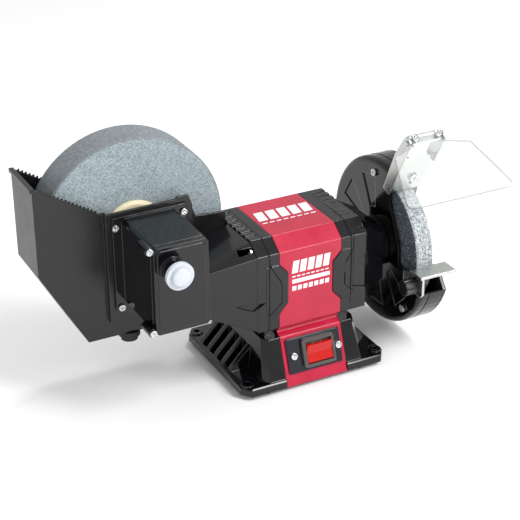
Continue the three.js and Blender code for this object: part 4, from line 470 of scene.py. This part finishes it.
# Wet stone: sides painted lighter as painted light, rim darker as painted shade; painted glints mostly
# on the sides.
WET_STONE = stone(
    "wet_stone", "wet_wheel", 1, 0.0985, (rgb(106, 119, 125), rgb(164, 176, 180)),
    (rgb(94, 100, 105), rgb(138, 144, 148)), rgb(186, 196, 200), 0.0009, 0.0001, (0.5, 0.15),
)
# Dry stone: sides painted darker as painted shade, rim brighter as painted light; painted glints mostly
# on the rim.
DRY_STONE = stone(
    "dry_stone", "dry_wheel", 0, 0.0742, (rgb(34, 40, 46), rgb(82, 90, 98)),
    (rgb(84, 92, 98), rgb(206, 212, 214)), rgb(236, 240, 242), 0.001, 0.0003, (0.3, 0.9),
)


# %% [markdown]
# ## Clear and coloured plastics
# The grey frame and the red rocker let a little light through, so they take some transmission
# over a plain coloured plastic.

# %% Clear and coloured plastics
def clear_plastic(name, colour, roughness, transmission):
    material, shader, wires, place = start_finish(name, roughness)
    grains = use_group(wires, GRAIN, place, Grain_Size=0.003)
    wires.join(wires.mix(grains["Patch"], colour, toned(colour, 0.94)), shader.inputs["Base Color"])
    gloss = wires.ramp(grains["Patch"], 0.3, 0.7, roughness, roughness + 0.04)
    wires.join(gloss, shader.inputs["Roughness"])
    shader.inputs["Transmission Weight"].default_value = transmission
    shader.inputs["IOR"].default_value = 1.49
    return material


BOOT_GREY = clear_plastic("boot_grey", rgb(96, 90, 88), 0.12, 0.3)
ROCKER_RED = clear_plastic("rocker_red", rgb(206, 20, 14), 0.08, 0.2)


# %% [markdown]
# A thin clear sheet hardly bends the light behind it, so it is made as a faint veil instead of
# solid glass: nearly invisible on its broad faces, more solid on its narrow cut edges.

# %% Thin clear sheets
def veil(name, colour, faint, edge, axis, roughness):
    material, shader, wires, place = start_finish(name, roughness)
    facing = wires.node("ShaderNodeTexCoord").outputs["Normal"]
    along = wires.node("ShaderNodeVectorMath", operation="DOT_PRODUCT")
    wires.join(facing, along.inputs[0])
    along.inputs[1].default_value = axis
    narrow = wires.ramp(wires.math("ABSOLUTE", along.outputs["Value"]), 0.35, 0.75, edge, faint)
    grains = use_group(wires, GRAIN, place, Grain_Size=0.003)
    cloud = wires.math("MULTIPLY", grains["Patch"], 0.04)
    wires.join(wires.math("ADD", narrow, cloud), shader.inputs["Alpha"])
    edge_share = wires.ramp(narrow, faint, edge)
    tint = wires.mix(edge_share, colour, toned(colour, 0.22))
    wires.join(tint, shader.inputs["Base Color"])
    shader.inputs["IOR"].default_value = 1.49
    return material


SHIELD_SLOPE = math.radians(28.7)  # of the eye shield, from level
SHIELD_SQUARE = (0.0, -math.sin(SHIELD_SLOPE), math.cos(SHIELD_SLOPE))
CLEAR = veil("clear_sheet", rgb(226, 230, 230), 0.13, 0.6, SHIELD_SQUARE, 0.04)
PANEL_RUN, PANEL_RISE = 0.321744, 0.946826  # one step up the sloped switch panel
PANEL_SQUARE = (0.0, -PANEL_RISE, PANEL_RUN)
COVER_CLEAR = veil("cover_clear", rgb(190, 176, 174), 0.2, 0.5, PANEL_SQUARE, 0.05)


def pale_floor():
    material, shader, wires, place = start_finish("pale_floor", roughness=0.85)
    grains = use_group(wires, GRAIN, place, Grain_Size=0.002)
    tone = wires.mix(grains["Patch"], (0.95, 0.95, 0.95, 1), (0.97, 0.97, 0.97, 1))
    wires.join(tone, shader.inputs["Base Color"])
    return material


floor.data.materials.append(pale_floor())
print("finishes:", len(bpy.data.materials))

# %% [markdown]
# ## Rounded edges
# A moulded or bent edge is never sharp: it has a small radius that catches a thin line of
# light. The solids have sharp edges, so each one given a radius gets a modifier that merges its
# flat triangles and one that rounds the edges, and every one gets one that steadies the shading
# of the flats.

# %% Dress a solid
def dress(name, material, radius=0.6, segments=2, angle=28):
    solid = nodes[name]
    solid.data.materials.clear()
    solid.data.materials.append(material)
    solid.data.shade_smooth()
    if radius:
        flat = solid.modifiers.new("merge_flats", "DECIMATE")
        flat.decimate_type, flat.angle_limit = "DISSOLVE", math.radians(1)
        edge = solid.modifiers.new("round_edges", "BEVEL")
        edge.limit_method, edge.angle_limit = "ANGLE", math.radians(angle)
        edge.width, edge.segments = radius * MM, segments
        edge.miter_outer = "MITER_ARC"
        edge.harden_normals = False
    steady = solid.modifiers.new("steady_shading", "WEIGHTED_NORMAL")
    steady.keep_sharp = False
    steady.weight = 80
    return solid


SCREWS = [name for name in nodes if "screw" in name or name == "bell_bolt"]
FINISHES = {
    "base_pedestal": (BASE_BLACK, 1.2), "left_end_bell": (BODY_BLACK, 0.8),
    "right_end_bell": (BODY_BLACK, 0.8),
    "body_wrap": (RED, 0.9), "switch_plate": (NAVY, 0.5), "switch_boot": (BOOT_GREY, 0.7),
    "switch_rocker": (ROCKER_RED, 0.5), "base_plate": (NAVY, 0.3), "capacitor": (NAVY, 0.8),
    "stator_core": (LAMINATION, 0.4), "rotor_core": (LAMINATION, 0.4), "winding_left": (COPPER, 2.0),
    "winding_right": (COPPER, 2.0), "bearing_left": (STEEL, 0.4), "bearing_right": (STEEL, 0.4),
    "cable_gland": (RUBBER, 0.8), "drain_plug": (RUBBER, 0.8), "drive_belt": (RUBBER, 0.3),
    "gearbox_case": (BOX_BLACK, 0.9), "gearbox_cover": (BOX_BLACK, 0.9), "axle_cap": (WHITE, 1.0),
    "water_tray": (TRAY_BLACK, 0.8), "guard_drum": (GUARD_BLACK, 0.8), "guard_cover": (GUARD_BLACK, 0.8),
    "shield_bracket": (ZINC_SHEET, 0.5), "tool_rest": (ZINC_SHEET, 0.6), "rest_knob": (KNOB_BLACK, 0.5),
    "shield_pin": (ZINC_SCREW, 0.3), "eye_shield": (CLEAR, 0.4), "motor_shaft": (STEEL, 0.6),
    "wet_axle": (STEEL, 0.6), "motor_pulley": (STEEL, 0.3), "worm_pulley": (STEEL, 0.3),
    "worm_shaft": (GEAR_STEEL, 0), "worm_wheel": (BRONZE, 0), "wet_wheel": (WET_STONE, 1.0),
    "dry_wheel": (DRY_STONE, 0.8), "dry_flange_inner": (STEEL, 0.4), "dry_flange_outer": (STEEL, 0.4),
    "wet_hub_front": (CREAM, 0.8), "wet_hub_back": (CREAM, 0.8), "wet_nut": (ZINC_SCREW, 0.5),
    "dry_nut": (ZINC_SCREW, 0.5),
}
for foot in range(1, 5):
    FINISHES[f"foot_{foot}"] = (RUBBER, 0.8)
for name in SCREWS:
    FINISHES[name] = (ZINC_SCREW, 0.3)
for name, (material, radius) in FINISHES.items():
    dress(name, material, radius)
print("undressed solids:", sorted(set(nodes) - set(FINISHES)))

# %% [markdown]
# ## Printed marks
# The red sheet carries a pale print on its top and its front. Plain slanted blocks, a bar and
# rows of dashes stand in for it, each a flat patch lying a tenth of a millimetre off the paint.

# %% Print on the red sheet
def add_piece(name, corners, faces, material, body, smooth=False):
    mesh = bpy.data.meshes.new(name)
    mesh.from_pydata([tuple(c) for c in corners], [], faces)
    mesh.materials.append(material)
    if smooth:
        mesh.shade_smooth()
    piece = bpy.data.objects.new(name, mesh)
    bpy.context.scene.collection.objects.link(piece)
    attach(piece, body)
    return piece


def block(x, y, width, height, lean=0.0):
    """A slanted four-sided block on a flat sheet: its corners, from lower left round."""
    return [(x, y), (x + width, y), (x + width + lean, y + height), (x + lean, y + height)]


def print_layout(scale):
    """The whole print about its own centre, in metres: blocks, a dashed line, a bar, dashes."""
    blocks = [block(-17.5 + i * 7.2, 4.5, 5.6, 11, 1.6) for i in range(5)]
    dashes = [block(-17 + i * 4.4, 0.8, 3.1, 1.1) for i in range(8)]
    bar = [block(-17, -4.8, 35, 3.6)]
    figures = [block(-17 + i * 5.1, -11.5, 3.7, 4.2, 0.3) for i in range(7)]
    rows = blocks + dashes + bar + figures
    return [[(x * scale * MM, y * scale * MM) for x, y in row] for row in rows]


def add_print(name, rows, place):
    corners, faces = [], []
    for row in rows:
        faces.append(tuple(range(len(corners), len(corners) + 4)))
        corners += [place(x, y) for x, y in row]
    return add_piece(name, corners, faces, PRINT, "frame")


LIFT = 0.12 * MM
FRONT_SCALE, TOP_SCALE = 1.27, 1.85
FRONT_PRINT_Z, TOP_PRINT_Y = 0.1225, 0.009
TOP_ROWS = 13  # the top carries the blocks and the dashed line only
wrap_low, wrap_high = (Vector(v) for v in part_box("body_wrap"))
sheet_middle = (wrap_low.x + wrap_high.x) / 2
sheet_half_up = (wrap_low.z + wrap_high.z) / 2
sheet_points = [nodes["body_wrap"].matrix_world @ v.co for v in nodes["body_wrap"].data.vertices]
front_face_y = min(point.y for point in sheet_points if point.z > sheet_half_up)
front = add_print(
    "print_front", print_layout(FRONT_SCALE),
    lambda x, y: (sheet_middle + x, front_face_y - LIFT, FRONT_PRINT_Z + y),
)
top = add_print(
    "print_top", print_layout(TOP_SCALE)[:TOP_ROWS],
    lambda x, y: (sheet_middle + x, TOP_PRINT_Y + y, wrap_high.z + LIFT),
)
print("print patches:", len(front.data.polygons), len(top.data.polygons))

# %% [markdown]
# ## Hub ribs, cap button and splash cover
# The front hub of the wet wheel is a ribbed moulding. The cap over the axle has a domed button
# inside a ring. The rocker sits under a clear cover that keeps water out; it is a thin shell, so
# the rocker moves freely beneath it.

# %% Ribs on the front hub
def ring_points(centre, radius, count, across, up):
    turn = [2 * math.pi * i / count for i in range(count)]
    return [centre + radius * (math.cos(a) * across + math.sin(a) * up) for a in turn]


def add_ribs(name, centre, inner, outer, count, width, proud):
    corners, faces = [], []
    for i in range(count):
        a = 2 * math.pi * i / count
        along = Vector((math.cos(a), 0, math.sin(a)))
        side = Vector((-math.sin(a), 0, math.cos(a))) * width / 2
        out = Vector((0, -proud, 0))
        base = len(corners)
        for radius in (inner, outer):
            foot = centre + along * radius
            corners += [foot - side, foot + side, foot + side * 0.6 + out, foot - side * 0.6 + out]
        faces += [tuple(base + k for k in quad) for quad in (
            (0, 1, 5, 4), (1, 2, 6, 5), (2, 3, 7, 6), (3, 0, 4, 7), (3, 2, 1, 0), (4, 5, 6, 7))]
    return add_piece(name, corners, faces, CREAM, "wet_wheel_set")


hub_low, hub_high = (Vector(v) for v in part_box("wet_hub_front"))
RIB_SINK = 0.0001
RIB_INNER, RIB_OUTER, RIB_COUNT = 0.012, 0.0295, 10
RIB_WIDTH, RIB_PROUD = 0.0022, 0.0011
hub_middle = (hub_low + hub_high) / 2
hub_face = Vector((hub_middle.x, hub_low.y + RIB_SINK, hub_middle.z))
ribs = add_ribs("hub_ribs", hub_face, RIB_INNER, RIB_OUTER, RIB_COUNT, RIB_WIDTH, RIB_PROUD)
print("ribs:", RIB_COUNT, "faces:", len(ribs.data.polygons))


# %% [markdown]
# The button is turned: a short profile is swept round the axle's line, and its shading is smooth.

# %% Button in the axle cap
def add_turned(name, centre, profile, count, out, across, up, material, body):
    """A turned piece from (radius, height) pairs; the last pair may close on the axis."""
    corners, faces = [], []
    for radius, height in profile:
        corners += ring_points(centre + out * height, radius, count, across, up)
    for level in range(len(profile) - 1):
        for i in range(count):
            j = (i + 1) % count
            a, b = level * count, (level + 1) * count
            faces.append((a + i, a + j, b + j, b + i))
    last = (len(profile) - 1) * count
    faces.append(tuple(range(last, last + count)))
    return add_piece(name, corners, faces, material, body, smooth=True)


cap_low, cap_high = (Vector(v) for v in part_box("axle_cap"))
cap_face = Vector(((cap_low.x + cap_high.x) / 2, cap_low.y, (cap_low.z + cap_high.z) / 2))
BUTTON_SIDES = 48
dome_profile = [
    (0.0094, 0), (0.0094, 0.0006), (0.0088, 0.0011),
    (0.0074, 0.0016), (0.0050, 0.0020), (0.002, 0.0022),
]
button = add_turned(
    "cap_button", cap_face, dome_profile, BUTTON_SIDES, Vector((0, -1, 0)), Vector((1, 0, 0)),
    Vector((0, 0, 1)), WHITE, "frame",
)
print("button faces:", len(button.data.polygons))


# %% [markdown]
# The cover is four rings of four corners, each smaller and further out than the last, closed by
# a flat top. It stays open underneath, and a small bevel softens its corners.

# %% Clear cover over the rocker
COVER_LEVELS = (  # half width, half length and height above the frame, in millimetres
    (17.0, 13.2, -0.5), (17.0, 13.2, 3.4), (15.2, 11.6, 5.4), (13.5, 10.2, 5.9),
)


def add_cover():
    up, out = Vector((0, PANEL_RUN, PANEL_RISE)), Vector(PANEL_SQUARE)
    low, high = (Vector(v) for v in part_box("switch_boot"))
    middle = (low + high) / 2
    across = Vector((1, 0, 0))
    bmesh_data = bmesh.new()
    rings = []
    for half_x, half_up, height in COVER_LEVELS:
        ring = []
        for sx, su in ((-1, -1), (1, -1), (1, 1), (-1, 1)):
            at = middle + across * sx * half_x * MM + up * su * half_up * MM + out * height * MM
            ring.append(bmesh_data.verts.new(at))
        rings.append(ring)
    for a, b in zip(rings, rings[1:]):
        for i in range(4):
            j = (i + 1) % 4
            bmesh_data.faces.new((a[i], a[j], b[j], b[i]))
    bmesh_data.faces.new(rings[-1])
    mesh = bpy.data.meshes.new("splash_cover")
    bmesh_data.to_mesh(mesh)
    bmesh_data.free()
    mesh.materials.append(COVER_CLEAR)
    cover = bpy.data.objects.new("splash_cover", mesh)
    bpy.context.scene.collection.objects.link(cover)
    edge = cover.modifiers.new("round_edges", "BEVEL")
    edge.limit_method, edge.width, edge.segments = "ANGLE", 0.8 * MM, 3
    cover.data.shade_smooth()
    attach(cover, "frame")
    return cover


cover = add_cover()
print("pieces added:", ribs.name, button.name, cover.name)
